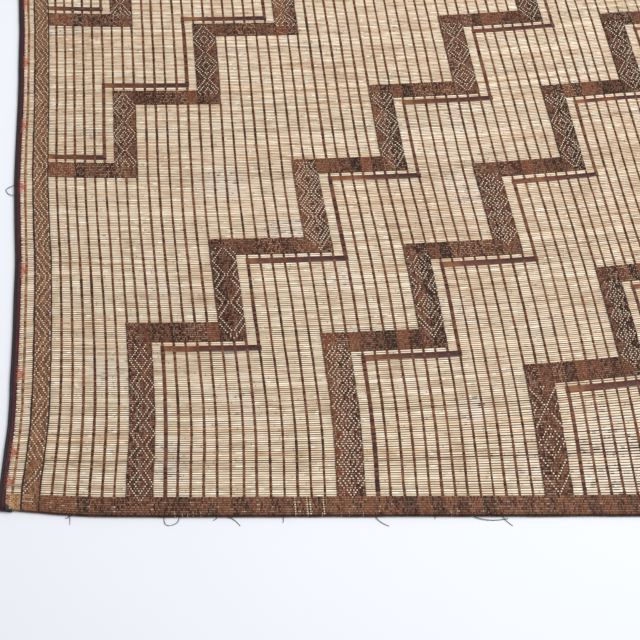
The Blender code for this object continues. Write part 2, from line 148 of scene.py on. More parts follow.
@dataclass(frozen=True)
class MatGrid:
    """The mat's grid of reeds and thongs, and how it lies on the floor.

    Each part of the side's run is a distance along, how far the side is drawn in there, and how
    far its outermost reed ends are. Each swell is its place across and along, its reach across
    and along, and its push.
    """

    thong_pitch: float = 0.020
    columns: int = 80
    reed_pitch: float = 0.0041
    rows: int = 630
    column_strands: int = 9
    reed_end: float = 0.0460
    guard_inner: float = 0.0012
    guard_outer: float = 0.0275
    outer_thong: float = 0.038
    end_rows: int = 8
    row_sag: float = 0.040
    sag_span: float = 0.8
    row_lift: float = 0.012
    lift_span: float = 0.4
    front_slope: float = 0.0865
    front_straight: float = 0.9
    front_ease: float = 0.75
    front_rest: float = 0.060
    front_depth: float = 0.22
    corner_lift: float = 0.0125
    corner_start: float = 0.13
    corner_span: float = 0.18
    corner_power: float = 2.0
    corner_depth: float = 0.05
    draw_in_reach: float = 0.07
    side_run: tuple[Triple, ...] = (
        (0.0, 0.0100, -0.0038),
        (0.055, 0.0110, -0.0041),
        (0.165, 0.0162, -0.0040),
        (0.26, 0.0180, -0.0039),
        (0.51, 0.0236, -0.0022),
        (0.70, 0.0216, -0.0023),
        (0.90, 0.0235, -0.0007),
        (1.10, 0.0225, 0.0),
        (1.50, 0.0130, 0.0),
        (2.00, 0.0030, 0.0),
        (2.583, 0.0, 0.0),
    )
    swells: tuple[Marks, ...] = (
        (0.51, 0.00, 0.29, 0.27, 0.0134),
        (0.51, 0.00, 0.60, 0.13, -0.0140),
        (0.59, 0.64, 0.60, 0.25, -0.0092),
        (0.60, 0.51, 0.21, 0.27, 0.0160),
        (0.89, 0.51, 0.12, 0.44, 0.0160),
        (0.076, 0.31, 0.136, 0.37, 0.0107),
    )

    @property
    def width(self) -> float:
        """Distance between the guard bands' inner lines."""
        return self.thong_pitch * self.columns

    @property
    def length(self) -> float:
        """Distance between the front and the back edge."""
        return self.reed_pitch * self.rows

    @property
    def strand_pitch(self) -> float:
        """Distance between woven strands."""
        return self.thong_pitch / self.column_strands

    @cached_property
    def offset(self) -> Vector:
        """Place of the grid's own corner in the frame, read from the reed field's box."""
        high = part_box("reed_field")[1]
        return Vector((high.x - self.width - self.reed_end, high.y - self.length, 0.0))

    def drift(self, across: Array, along: Array) -> Array:
        """How far places have moved along the mat, by its sagging rows and slanted front edge.

        Args:
            across: Distances across.
            along: Distances along.

        Returns:
            Distances along.
        """
        share = np.clip(across / self.sag_span, 0.0, 1.0)
        lift = self.row_lift * soft_step((across - self.sag_span) / self.lift_span)
        row = lift - self.row_sag * share * (2 - share)
        share = np.clip((across - self.front_straight) / self.front_ease, 0.0, 1.0)
        start = (2 * share**3 - 3 * share**2 + 1) * self.front_slope * self.front_straight
        slope = (share**3 - 2 * share**2 + share) * self.front_ease * self.front_slope
        rest = (3 * share**2 - 2 * share**3) * self.front_rest
        front = np.where(across < self.front_straight, -self.front_slope * across, -(start + slope + rest))
        inside = soft_step(along / self.front_depth)
        curl = np.maximum((self.corner_start - across) / self.corner_span, 0.0) ** self.corner_power
        curl = self.corner_lift * curl * np.exp(-along / self.corner_depth)
        return (1 - inside) * front + inside * row + curl

    def shift(self, across: Array, along: Array) -> Array:
        """How far places have moved across the mat, by its drawn-in left side and soft swells.

        Args:
            across: Distances across.
            along: Distances along.

        Returns:
            Distances across.
        """
        places, inner_run, edge_run = zip(*self.side_run)
        inner = np.interp(along, places, inner_run)
        edge = np.interp(along, places, edge_run)
        outwards = np.clip((-across - self.guard_outer) / (self.reed_end - self.guard_outer), 0.0, 1.0)
        drawn = inner * np.exp(-np.maximum(across, 0.0) / self.draw_in_reach) + edge * outwards
        pushed = np.zeros(across.shape)
        for swell_across, swell_along, reach_across, reach_along, push in self.swells:
            away_across = (across - swell_across) / reach_across
            away_along = (along - swell_along) / reach_along
            pushed = pushed + push * np.exp(-(away_across**2) - away_along**2)
        return drawn + pushed

    def lay(self, across: Array, along: Array, height: Array) -> Array:
        """Where places on the grid lie.

        Args:
            across: Distances across.
            along: Distances along.
            height: Heights above the floor.

        Returns:
            Points in the frame, as one more axis of three.
        """
        across, along, height = np.broadcast_arrays(across, along, height)
        moved_across = across + self.shift(across, along) + self.offset.x
        moved_along = along + self.drift(across, along) + self.offset.y
        return np.stack((moved_across, moved_along, height), axis=-1)


def face_outwards(piece: Piece) -> None:
    """Turns the faces of a closed piece outwards.

    Args:
        piece: The piece.
    """
    bpy.ops.object.select_all(action="DESELECT")
    bpy.context.view_layer.objects.active = piece
    piece.select_set(True)
    bpy.ops.object.mode_set(mode="EDIT")
    bpy.ops.mesh.select_all(action="SELECT")
    bpy.ops.mesh.normals_make_consistent(inside=False)
    bpy.ops.object.mode_set(mode="OBJECT")


@dataclass
class Fabric:
    """Gathers grids of faces into one joined mesh."""

    points: list[Array] = field(default_factory=list)
    lies: list[Array] = field(default_factory=list)
    faces: list[Array] = field(default_factory=list)
    dots: list[Array] = field(default_factory=list)
    shades: list[Array] = field(default_factory=list)
    count: int = 0

    def add_faces(self, faces: Array, dots: Array | None = None,
                  shades: Array | None = None) -> None:
        """Adds faces of one size.

        Args:
            faces: The numbers of each face's points.
            dots: How much each face is a dot.
            shades: How dark each face is.
        """
        self.faces.append(faces)
        self.dots.append(np.zeros(len(faces)) if dots is None else dots.reshape(-1))
        self.shades.append(np.zeros(len(faces)) if shades is None else shades.reshape(-1))

    def add_points(self, points: Array, lie: Array) -> Array:
        """Adds points.

        Args:
            points: Rows by columns by three.
            lie: Rows by columns by two, the places that the finishes read.

        Returns:
            The points' numbers, as rows by columns.
        """
        number = np.arange(points.size // 3).reshape(points.shape[:2]) + self.count
        self.points.append(points.reshape(-1, 3))
        self.lies.append(lie.reshape(-1, 2))
        self.count += number.size
        return number

    def add_grid(self, points: Array, lie: Array, **values: Array) -> None:
        """Adds a grid of four-cornered faces.

        Args:
            points: Rows by columns by three.
            lie: Rows by columns by two, the places that the finishes read.
            **values: Dots and shades, as rows of faces by columns of faces.
        """
        number = self.add_points(points, lie)
        quads = np.stack((number[:-1, :-1], number[:-1, 1:], number[1:, 1:], number[1:, :-1]), axis=-1)
        self.add_faces(quads.reshape(-1, 4), **values)

    def add_tube(self, points: Array, lie: Array) -> None:
        """Adds a tube with closed ends.

        Args:
            points: Sections by sides by three.
            lie: Sections by sides by two, the places that the finishes read.
        """
        number = self.add_points(points, lie)
        after = np.roll(number, -1, axis=1)
        quads = np.stack((number[:-1], after[:-1], after[1:], number[1:]), axis=-1)
        self.add_faces(quads.reshape(-1, 4))
        for ring in (number[0][::-1], number[-1]):
            first = np.full(len(ring) - 2, ring[0])
            self.add_faces(np.stack((first, ring[1:-1], ring[2:]), axis=-1))

    def make(self, name: str, closed: bool = False) -> Piece:
        """Makes the joined mesh and its object, with smooth sides and flat tube ends.

        Args:
            name: Name of the piece.
            closed: Whether it is closed, so that its faces can be turned outwards.

        Returns:
            The new object, at the origin.
        """
        points = np.concatenate(self.points)
        lies = np.concatenate(self.lies)
        loops = np.concatenate([faces.reshape(-1) for faces in self.faces])
        totals = np.concatenate([np.full(len(faces), faces.shape[1]) for faces in self.faces])
        mesh = bpy.data.meshes.new(name)
        mesh.vertices.add(len(points))
        mesh.vertices.foreach_set("co", points.astype(np.float32).reshape(-1))
        mesh.loops.add(len(loops))
        mesh.loops.foreach_set("vertex_index", loops.astype(np.int32))
        mesh.polygons.add(len(totals))
        starts = np.concatenate(([0], np.cumsum(totals)[:-1]))
        mesh.polygons.foreach_set("loop_start", starts.astype(np.int32))
        mesh.polygons.foreach_set("loop_total", totals.astype(np.int32))
        mesh.polygons.foreach_set("use_smooth", totals == 4)
        layer = mesh.uv_layers.new(name=LIE)
        layer.data.foreach_set("uv", lies[loops].astype(np.float32).reshape(-1))
        for label, values in ((DOT, self.dots), (SHADE, self.shades)):
            attribute = mesh.attributes.new(label, "FLOAT", "FACE")
            attribute.data.foreach_set("value", np.concatenate(values).astype(np.float32))
        mesh.validate()
        mesh.update()
        piece = bpy.data.objects.new(name, mesh)
        bpy.context.scene.collection.objects.link(piece)
        if closed:
            face_outwards(piece)
        return piece


@dataclass(frozen=True)
class Noise:
    """A noise: how places are stretched, its detail, its roughness and its scale."""

    stretch: Triple = (1.0, 1.0, 1.0)
    detail: float = 2.0
    roughness: float = 0.5
    scale: Value = 1.0


@dataclass(frozen=True)
class Patch:
    """Soft-edged patches: how places are stretched, the noise's marks, their share and scale."""

    stretch: Triple
    low: float
    high: float
    share: float = 1.0
    scale: float = 1.0
    shift: Triple = (0.0, 0.0, 0.0)


class NodeSheet:
    """Short calls for the nodes that finishes are made of."""

    mixed_inputs = 6, 7
    mixed_output = 2

    def __init__(self, tree: Group) -> None:
        """Keeps the tree."""
        self.tree = tree

    def feed(self, socket: Socket, value: Value) -> None:
        """Links a socket to another, or sets its value.

        Args:
            socket: The socket that is fed.
            value: Another socket, or a value, where a colour has three parts.
        """
        if isinstance(value, Socket):
            self.tree.links.new(value, socket)
        else:
            socket.default_value = (*value, 1.0) if socket.type == "RGBA" else value

    def add(self, kind: str, given: dict[str | int, Value] | None = None, **settings: object) -> Node:
        """Adds a node.

        Args:
            kind: Blender's name for it.
            given: What its sockets are fed.
            **settings: Its properties.

        Returns:
            The node.
        """
        node = self.tree.nodes.new(kind)
        for name, setting in settings.items():
            setattr(node, name, setting)
        for socket, value in (given or {}).items():
            self.feed(node.inputs[socket], value)
        return node

    def math(self, operation: str, *values: Value, clamp: bool = False) -> Socket:
        """A Math node's result."""
        given = dict(enumerate(values))
        return self.add("ShaderNodeMath", given, operation=operation, use_clamp=clamp).outputs[0]

    def times(self, first: Value, second: Value) -> Socket:
        """The product of two values."""
        return self.math("MULTIPLY", first, second)

    def from_middle(self, value: Value) -> Socket:
        """How far a value from 0 to 1 is from the middle, below it as a minus."""
        return self.math("SUBTRACT", value, 0.5)

    def weighed(self, start: Value, *parts: tuple[Value, float]) -> Value:
        """A start value with further values added by their weights.

        Args:
            start: The start value.
            *parts: Each value with its weight.

        Returns:
            The sum.
        """
        total = start
        for value, weight in parts:
            total = self.math("MULTIPLY_ADD", value, weight, total)
        return total

    def apart(self, vector: Value) -> Node:
        """A node that takes a vector apart."""
        return self.add("ShaderNodeSeparateXYZ", {0: vector})

    def joined(self, across: Value, along: Value) -> Socket:
        """A vector of a place across and a place along."""
        return self.add("ShaderNodeCombineXYZ", {"X": across, "Y": along}).outputs[0]

    def chance(self, **place: Value) -> Node:
        """A White Noise node of a number W, or of a Vector of two."""
        return self.add("ShaderNodeTexWhiteNoise", place, noise_dimensions="1D" if "W" in place else "2D")

    def vector_math(self, operation: str, *values: Value) -> Node:
        """A Vector Math node."""
        return self.add("ShaderNodeVectorMath", dict(enumerate(values)), operation=operation)

    def scaled(self, vector: Value, scale: Triple) -> Socket:
        """A vector that is scaled along each axis."""
        return self.vector_math("MULTIPLY", vector, scale).outputs[0]

    def mix(self, share: Value, first: Value, second: Value, way: str = "MIX") -> Socket:
        """A mixed colour.

        Args:
            share: How much of the second colour there is.
            first: The first colour.
            second: The second colour.
            way: How they are mixed.

        Returns:
            The colour's socket.
        """
        given = {"Factor": share, **dict(zip(self.mixed_inputs, (first, second)))}
        node = self.add("ShaderNodeMix", given, data_type="RGBA", blend_type=way, clamp_factor=True)
        return node.outputs[self.mixed_output]

    def noise(self, vector: Value, noise: Noise) -> Socket:
        """A Noise Texture's value."""
        given = {"Scale": noise.scale, "Detail": noise.detail, "Roughness": noise.roughness}
        return self.add("ShaderNodeTexNoise", {0: self.scaled(vector, noise.stretch), **given}).outputs[0]

    def spread(self, value: Value, low: Value, high: Value, start: float = 0.0, end: float = 1.0) -> Socket:
        """A value mapped softly from one range to another."""
        given = dict(enumerate((value, low, high, start, end)))
        return self.add("ShaderNodeMapRange", given, interpolation_type="SMOOTHSTEP").outputs[0]

    def ramp(self, value: Value, stops: Stops) -> Socket:
        """A Color Ramp's colour.

        Args:
            value: The place on the ramp.
            stops: Place and colour of each stop.

        Returns:
            The colour's socket.
        """
        node = self.add("ShaderNodeValToRGB", {0: value})
        elements = node.color_ramp.elements
        while len(elements) < len(stops):
            elements.new(0.5)
        for element, (place, colour) in zip(elements, stops):
            element.position = place
            element.color = (*colour, 1.0)
        return node.outputs[0]

    def lie(self) -> Socket:
        """The piece's own UV map of places on the mat."""
        return self.add("ShaderNodeUVMap", uv_map=LIE).outputs[0]

    def places(self) -> Socket:
        """Object coordinates."""
        return self.add("ShaderNodeTexCoord").outputs["Object"]

    def mark(self, name: str) -> Socket:
        """The value of a face's attribute."""
        return self.add("ShaderNodeAttribute", attribute_name=name).outputs["Fac"]

    def use(self, group: Group, vector: Value, **values: float) -> Node:
        """A shared effect's node, with what it reads and its other values."""
        return self.add("ShaderNodeGroup", {"Vector": vector, **values}, node_tree=group)

    def patches(self, vector: Value, patch: Patch) -> Socket:
        """A share of a mask of soft-edged patches.

        Args:
            vector: Places.
            patch: The patches.

        Returns:
            The mask's socket.
        """
        places = self.vector_math("ADD", self.scaled(vector, patch.stretch), patch.shift).outputs[0]
        node = self.use(Effects.patches(), places, Scale=patch.scale, Low=patch.low, High=patch.high)
        return self.times(node.outputs["Mask"], patch.share)

    def coat(self, shader: Node, colour: Value, roughness: Value, specular: float) -> None:
        """Feeds the shader its colour, roughness and gloss.

        Args:
            shader: The Principled shader.
            colour: Its base colour.
            roughness: Its roughness.
            specular: Its gloss.
        """
        given = {"Base Color": colour, "Roughness": roughness, "Specular IOR Level": specular}
        for name, value in given.items():
            self.feed(shader.inputs[name], value)

    def bump(self, shader: Node, height: Value, distance: float, strength: float) -> None:
        """Feeds a height to the shader's normal."""
        given = {"Height": height, "Distance": distance, "Strength": strength}
        self.feed(shader.inputs["Normal"], self.add("ShaderNodeBump", given).outputs["Normal"])


def new_group(
    name: str, inputs: dict[str, float], outputs: tuple[str, ...]
) -> tuple[Group, NodeSheet, Node, Node]:
    """An empty node group that reads a vector.

    Args:
        name: Name of the group.
        inputs: Its values besides the vector, each with its default.
        outputs: Name of each output, a value.

    Returns:
        The group, a NodeSheet on it, its input node and its output node.
    """
    group = bpy.data.node_groups.new(name, "ShaderNodeTree")
    group.interface.new_socket("Vector", in_out="INPUT", socket_type="NodeSocketVector")
    for label, default in inputs.items():
        socket = group.interface.new_socket(label, in_out="INPUT", socket_type="NodeSocketFloat")
        socket.default_value = default
    for label in outputs:
        group.interface.new_socket(label, in_out="OUTPUT", socket_type="NodeSocketFloat")
    sheet = NodeSheet(group)
    return group, sheet, sheet.add("NodeGroupInput"), sheet.add("NodeGroupOutput")


class Effects:
    """Node groups that more than one finish uses, each made once."""

    patch_noise = Noise(detail=3.0, roughness=0.6)
    stalks_in_metre = 1.3
    row_shift = 9.0
    joints_in_stalk = 3.3
    run_noise = Noise((24.0, 5.37, 0.0))
    run_marks = (0.33, 0.67)
    strands_in_block = 9
    block_start = 0.04
    block_seed = 0.37
    chosen_marks = (0.35, 0.75)
    chosen_share = (0.55, 0.45)
    fleck_marks = (0.35, 0.90)
    dot_wide = 0.46
    dot_tall = 0.30
    dot_marks = (1.25, 0.65)
    groove_marks = (0.34, 0.5)
    crest_marks = (0.5, 0.1)
    swell_share = 0.2

    @staticmethod
    @cache
    def patches() -> Group:
        """A mask of soft-edged patches: noise between a low and a high mark.

        Returns:
            The group.
        """
        inputs = {"Scale": 3.0, "Low": 0.45, "High": 0.65}
        group, sheet, given, out = new_group("patches", inputs, ("Mask",))
        noise = replace(Effects.patch_noise, scale=given.outputs["Scale"])
        value = sheet.noise(given.outputs["Vector"], noise)
        sheet.feed(out.inputs["Mask"], sheet.spread(value, given.outputs["Low"], given.outputs["High"]))
        return group

    @staticmethod
    @cache
    def stalks() -> Group:
        """Random tones of the reed at a distance across and a row, and one that changes along it.

        Returns:
            The group.
        """
        outputs = ("Tone", "Hue", "Depth", "Joint", "Run")
        group, sheet, given, out = new_group("stalks", {}, outputs)
        apart = sheet.apart(given.outputs["Vector"])
        row = sheet.math("FLOOR", apart.outputs["Y"])
        along = sheet.times(apart.outputs["X"], Effects.stalks_in_metre)
        run = sheet.weighed(along, (sheet.chance(W=row).outputs["Value"], Effects.row_shift))
        chance = sheet.chance(Vector=sheet.joined(sheet.math("FLOOR", run), row))
        joint = sheet.math("FRACT", sheet.times(run, Effects.joints_in_stalk))
        slow = sheet.noise(sheet.joined(apart.outputs["X"], row), Effects.run_noise)
        change = sheet.spread(slow, *Effects.run_marks)
        parts = sheet.apart(chance.outputs["Color"])
        for name, value in zip(outputs, (*parts.outputs[:3], joint, change)):
            sheet.feed(out.inputs[name], value)
        return group

    @staticmethod
    @cache
    def cells() -> Group:
        """Random tones of a weave's strands and cells, and the place in a cell.

        Returns:
            The group.
        """
        outputs = ("Strand", "Cell", "Checker", "Groove", "Crest", "Round", "Block", "Fleck")
        group, sheet, given, out = new_group("cells", {}, outputs)
        apart = sheet.apart(given.outputs["Vector"])
        strand = sheet.math("FLOOR", apart.outputs["X"])
        row = sheet.math("FLOOR", apart.outputs["Y"])
        tone = sheet.chance(W=strand).outputs["Value"]
        cell = sheet.chance(Vector=sheet.joined(strand, row))
        # A checker of cells, for painted light and shade of the weave's relief
        half = sheet.math("FRACT", sheet.times(sheet.math("ADD", strand, row), 0.5))
        aside, above = (sheet.math("ABSOLUTE", sheet.from_middle(sheet.math("FRACT", place)))
                        for place in apart.outputs[:2])
        wide = sheet.math("POWER", sheet.math("DIVIDE", aside, Effects.dot_wide), 2.0)
        tall = sheet.math("POWER", sheet.math("DIVIDE", above, Effects.dot_tall), 2.0)
        block = sheet.weighed(Effects.block_start, (strand, 1 / Effects.strands_in_block))
        block = sheet.chance(W=sheet.math("ADD", sheet.math("FLOOR", block), Effects.block_seed))
        chosen = sheet.spread(sheet.apart(block.outputs["Color"]).outputs["Y"], *Effects.chosen_marks)
        chosen = sheet.math("MULTIPLY_ADD", chosen, *Effects.chosen_share)
        flecked = sheet.spread(sheet.apart(cell.outputs["Color"]).outputs["Y"], *Effects.fleck_marks)
        results = (tone, cell.outputs["Value"], sheet.times(half, 2.0),
                   sheet.spread(aside, *Effects.groove_marks), sheet.spread(above, *Effects.crest_marks),
                   sheet.spread(sheet.math("ADD", wide, tall), *Effects.dot_marks),
                   block.outputs["Value"], sheet.times(chosen, flecked))
        for name, value in zip(outputs, results):
            sheet.feed(out.inputs[name], value)
        return group

    @staticmethod
    @cache
    def grain() -> Group:
        """Fine grain of leather as a height: pores with a slow swell under them.

        Returns:
            The group.
        """
        group, sheet, given, out = new_group("grain", {"Scale": 900.0}, ("Height",))
        read = {"Vector": given.outputs["Vector"], "Scale": given.outputs["Scale"]}
        pores = sheet.add("ShaderNodeTexVoronoi", read, feature="DISTANCE_TO_EDGE")
        slow = sheet.times(given.outputs["Scale"], Effects.swell_share)
        swell = sheet.noise(given.outputs["Vector"], Noise(scale=slow))
        sheet.feed(out.inputs["Height"], sheet.math("ADD", pores.outputs["Distance"], swell))
        return group


def start_finish(name: str) -> tuple[Material, NodeSheet, Node]:
    """Starts a material.

    Args:
        name: Its name.

    Returns:
        The material, its nodes and its Principled shader.
    """
    material = bpy.data.materials.new(name)
    material.use_nodes = True
    return material, NodeSheet(material.node_tree), material.node_tree.nodes["Principled BSDF"]


@dataclass(frozen=True)
class ReedFinish:
    """Dry reed: each stalk its own cream, with bright runs, painted highlights in short bright
    stretches, joints, painted shade low down between the reeds, and worn places.

    A worn place is given as its distances across and along, and its reach.
    """

    tones: Stops = (
        (0.05, (0.50, 0.34, 0.21)),
        (0.25, (0.66, 0.50, 0.34)),
        (0.45, (0.78, 0.63, 0.45)),
        (0.65, (0.88, 0.74, 0.56)),
        (0.85, (1.00, 0.92, 0.75)),
    )
    start_tone: float = -0.20
    run_weight: float = 0.36
    cell_weight: float = 0.34
    stalk_weight: float = 0.30
    fibre_weight: float = 0.30
    fibre: Noise = Noise((22.0, 1500.0, 1500.0), 3.0, 0.6)
    cell: Noise = Noise((45.0, 0.11, 0.0), 1.0)
    pale: Triple = (0.86, 0.78, 0.69)
    pale_share: float = 0.38
    tan: Triple = (1.0, 0.80, 0.58)
    tan_marks: Marks = (0.86, 0.97, 0.0, 0.5)
    stain: Triple = (0.70, 0.52, 0.40)
    stain_patch: Patch = Patch((1.0, 0.006, 0.0), 0.50, 0.72, 0.35, 5.0)
    rust: Triple = (0.60, 0.29, 0.13)
    rust_patch: Patch = Patch((9.0, 1.0, 0.0), 0.70, 0.76, 0.5)
    # Painted highlight: short bright stretches along the reeds
    painted_highlight: Triple = (1.00, 0.96, 0.82)
    highlight_patch: Patch = Patch((34.0, 2.3, 0.0), 0.60, 0.68, 0.85)
    joint_marks: Marks = (0.0, 0.006, 0.6, 0.0)
    # Dark colour of the stalks' joints, also used as painted shade low down between the reeds
    joint_dark_and_gap_shade: Triple = (0.085, 0.036, 0.014)
    gap_shade_share: float = 0.94
    gap_shade_top: float = 0.0044
    gap_shade_base: float = 0.0037
    unevenness: float = 0.0003
    speck: Triple = (0.022, 0.016, 0.014)
    speck_top: float = 0.0046
    speck_depth: float = 0.0004
    dash: Noise = Noise((60.0, 1.7, 0.0))
    dash_marks: Marks = (0.70, 0.74)
    dash_wear: float = 0.15
    rough_marks: Marks = (0.2, 0.8, 0.40, 0.60)
    specular: float = 0.15
    bump_depth: float = 0.0003
    bump_strength: float = 0.5
    worn_patch: Patch = Patch((1.0, 1.0, 1.0), 0.50, 0.70, 0.7, 7.0)
    worn_core: float = 0.3
    worn: tuple[Triple, ...] = (
        (0.301, 0.335, 0.055), (0.106, 0.264, 0.050), (0.746, 0.653, 0.060), (0.896, 0.093, 0.110),
        (0.198, 0.100, 0.065), (0.778, 0.082, 0.030), (0.510, 0.325, 0.050), (0.680, 0.177, 0.045),
        (0.440, 0.560, 0.070), (0.330, 0.690, 0.060),
    )

    def make(self) -> Material:
        """Makes the material.

        Returns:
            The material.
        """
        material, sheet, shader = start_finish("dry_reed")
        lie = sheet.lie()
        places = sheet.places()
        stalk = sheet.use(Effects.stalks(), lie)
        fibre = sheet.noise(places, self.fibre)
        tone = sheet.weighed(self.start_tone, (stalk.outputs["Run"], self.run_weight),
                             (sheet.noise(lie, self.cell), self.cell_weight),
                             (stalk.outputs["Tone"], self.stalk_weight), (fibre, self.fibre_weight))
        colour = sheet.ramp(tone, self.tones)
        flat = sheet.scaled(lie, (1.0, MatGrid.reed_pitch, 0.0))
        wear = sheet.patches(flat, self.worn_patch)
        for across, along, reach in self.worn:
            away = sheet.vector_math("DISTANCE", flat, (across, along, 0.0)).outputs["Value"]
            wear = sheet.math("MAXIMUM", wear, sheet.spread(away, reach, reach * self.worn_core))
        colour = sheet.mix(sheet.times(wear, self.pale_share), colour, self.pale)
        tanned = sheet.spread(stalk.outputs["Hue"], *self.tan_marks)
        colour = sheet.mix(tanned, colour, self.tan, "MULTIPLY")
        colour = sheet.mix(sheet.patches(lie, self.stain_patch), colour, self.stain, "MULTIPLY")
        colour = sheet.mix(sheet.patches(lie, self.rust_patch), colour, self.rust)
        # Painted highlight in short bright stretches along the reeds
        colour = sheet.mix(sheet.patches(lie, self.highlight_patch), colour, self.painted_highlight)
        away = sheet.math("ABSOLUTE", sheet.from_middle(stalk.outputs["Joint"]))
        colour = sheet.mix(sheet.spread(away, *self.joint_marks), colour, self.joint_dark_and_gap_shade)
        # Painted shade: the colour darkens low down between the reeds, by height
        height = sheet.apart(places).outputs["Z"]
        level = sheet.weighed(height, (stalk.outputs["Depth"], -self.unevenness))
        low = sheet.spread(level, self.gap_shade_top - self.unevenness / 2, self.gap_shade_base - self.unevenness / 2)
        colour = sheet.mix(sheet.times(low, self.gap_shade_share), colour, self.joint_dark_and_gap_shade)
        dashes = sheet.weighed(sheet.noise(lie, self.dash), (wear, self.dash_wear))
        beside = sheet.spread(height, self.speck_top, self.speck_top - self.speck_depth)
        dashes = sheet.times(sheet.spread(dashes, *self.dash_marks), beside)
        colour = sheet.mix(dashes, colour, self.speck)
        sheet.coat(shader, colour, sheet.spread(fibre, *self.rough_marks), self.specular)
        sheet.bump(shader, fibre, self.bump_depth, self.bump_strength)
        return material


@dataclass(frozen=True)
class LeatherFinish:
    """Leather strands: each strand and crossing its own brown, with dark and rusty stretches,
    and painted highlights on the crests and painted shade in the valleys, grooves and edges.

    Where a face is marked as a dot, the reed under the strands shows through.
    """

    name: str
    deep: Triple
    middle: Triple
    light: Triple
    stops: Triple = (0.28, 0.56, 0.84)
    strand_weight: float = 0.18
    cell_weight: float = 0.54
    # Painted light and shade: a checker of lighter and darker cells for strands that lie over and under
    checker_relief_shade_weight: float = 0.16
    swell_weight: float = 0.28
    swell: Noise = Noise((60.0, 12.0, 0.0), 3.0, 0.6)
    stretch: Triple = (36.0, 9.0, 0.0)
    # Darkest colour: for dark stretches, and for the painted shade of the valleys and the shade mark
    night: Triple = (0.022, 0.016, 0.017)
    night_share: float = 0.6
    night_marks: Marks = (0.52, 0.68)
    rust: Triple = (0.26, 0.085, 0.030)
    rust_share: float = 0.5
    rust_marks: Marks = (0.50, 0.68)
    rust_shift: Triple = (3.7, 5.1, 0.0)
    block_share: float = 0.0
    block_tint: float = 0.0
    rust_blocks: Marks = (0.76, 0.80)
    night_blocks: Marks = (0.19, 0.15)
    # Painted highlight on the strands' crests over the reeds: its colour, share, power and marks
    crest: Triple = (0.50, 0.30, 0.20)
    crest_highlight_share: float = 0.0
    crest_power: float = 4.0
    crest_marks: Marks = (0.2, 0.7)
    fleck: Triple = (0.52, 0.32, 0.20)
    fleck_share: float = 0.0
    # Painted shade in the grooves between strands; the groove depth is a bump
    groove_shade_share: float = 0.6
    groove_depth: float = -2.0
    # Painted shade in the valleys between rows, where the strands dip between reeds
    valley_shade_share: float = 0.12
    cream: Triple = (1.00, 0.87, 0.66)
    cream_low: Triple = (0.72, 0.54, 0.37)
    roughness: float = 0.52
    rough_marks: Marks = (0.3, 0.7)
    smoother: float = 0.08
    rougher: float = 0.1
    specular: float = 0.09
    strand_width: float = 0.020 / 9
    grain_scale: float = 1400.0
    bump_depth: float = 0.0002
    bump_strength: float = 0.6

    def make(self) -> Material:
        """Makes the material.

        Returns:
            The material.
        """
        material, sheet, shader = start_finish(self.name)
        lie = sheet.lie()
        places = sheet.places()
        cells = sheet.use(Effects.cells(), lie).outputs
        swell = sheet.noise(places, self.swell)
        block = sheet.from_middle(cells["Block"])
        # The tone's checker is painted light and shade of the weave's relief
        tone = sheet.weighed(0.0, (cells["Strand"], self.strand_weight), (cells["Cell"], self.cell_weight),
                             (cells["Checker"], self.checker_relief_shade_weight), (swell, self.swell_weight),
                             (block, self.block_share))
        colour = sheet.ramp(tone, tuple(zip(self.stops, (self.deep, self.middle, self.light))))
        rusty = Patch(self.stretch, *self.rust_marks, self.rust_share, shift=self.rust_shift)
        colour = sheet.mix(sheet.patches(places, rusty), colour, self.rust)
        dark = Patch(self.stretch, *self.night_marks, self.night_share)
        colour = sheet.mix(sheet.patches(places, dark), colour, self.night)
        if self.block_tint:
            for marks, tint in ((self.rust_blocks, self.rust), (self.night_blocks, self.night)):
                colour = sheet.mix(sheet.spread(cells["Block"], *marks, 0.0, self.block_tint), colour, tint)
        # Painted highlight on the crests, in random dashes
        painted_highlight = sheet.times(sheet.math("POWER", cells["Crest"], self.crest_power), self.crest_highlight_share)
        painted_highlight = sheet.times(painted_highlight, sheet.spread(cells["Cell"], *self.crest_marks))
        colour = sheet.mix(painted_highlight, colour, self.crest)
        flecked = sheet.times(cells["Fleck"], cells["Round"])
        colour = sheet.mix(sheet.times(flecked, self.fleck_share), colour, self.fleck)
        # Painted shade in the grooves between strands
        colour = sheet.mix(sheet.times(cells["Groove"], self.groove_shade_share), colour, self.deep)
        # Painted shade: darker in the valleys between rows
        valley = sheet.math("SUBTRACT", 1.0, cells["Crest"])
        colour = sheet.mix(sheet.times(valley, self.valley_shade_share), colour, self.night)
        # The shade mark: black strands, dark spots beside the dots, and painted shade along the bands' edges
        # and hems
        colour = sheet.mix(sheet.mark(SHADE), colour, self.night)
        round_dot = sheet.math("MULTIPLY", sheet.mark(DOT), cells["Round"], clamp=True)
        stalk = sheet.use(Effects.stalks(), sheet.scaled(lie, (self.strand_width, 1.0, 0.0)))
        reed = sheet.mix(stalk.outputs["Tone"], self.cream_low, self.cream)
        colour = sheet.mix(round_dot, colour, reed)
        rough = sheet.spread(swell, *self.rough_marks, self.roughness - self.smoother,
                             self.roughness + self.rougher)
        sheet.coat(shader, colour, rough, self.specular)
        grain = sheet.use(Effects.grain(), places, Scale=self.grain_scale)
        height = sheet.weighed(grain.outputs["Height"], (cells["Groove"], self.groove_depth))
        sheet.bump(shader, height, self.bump_depth, self.bump_strength)
        return material


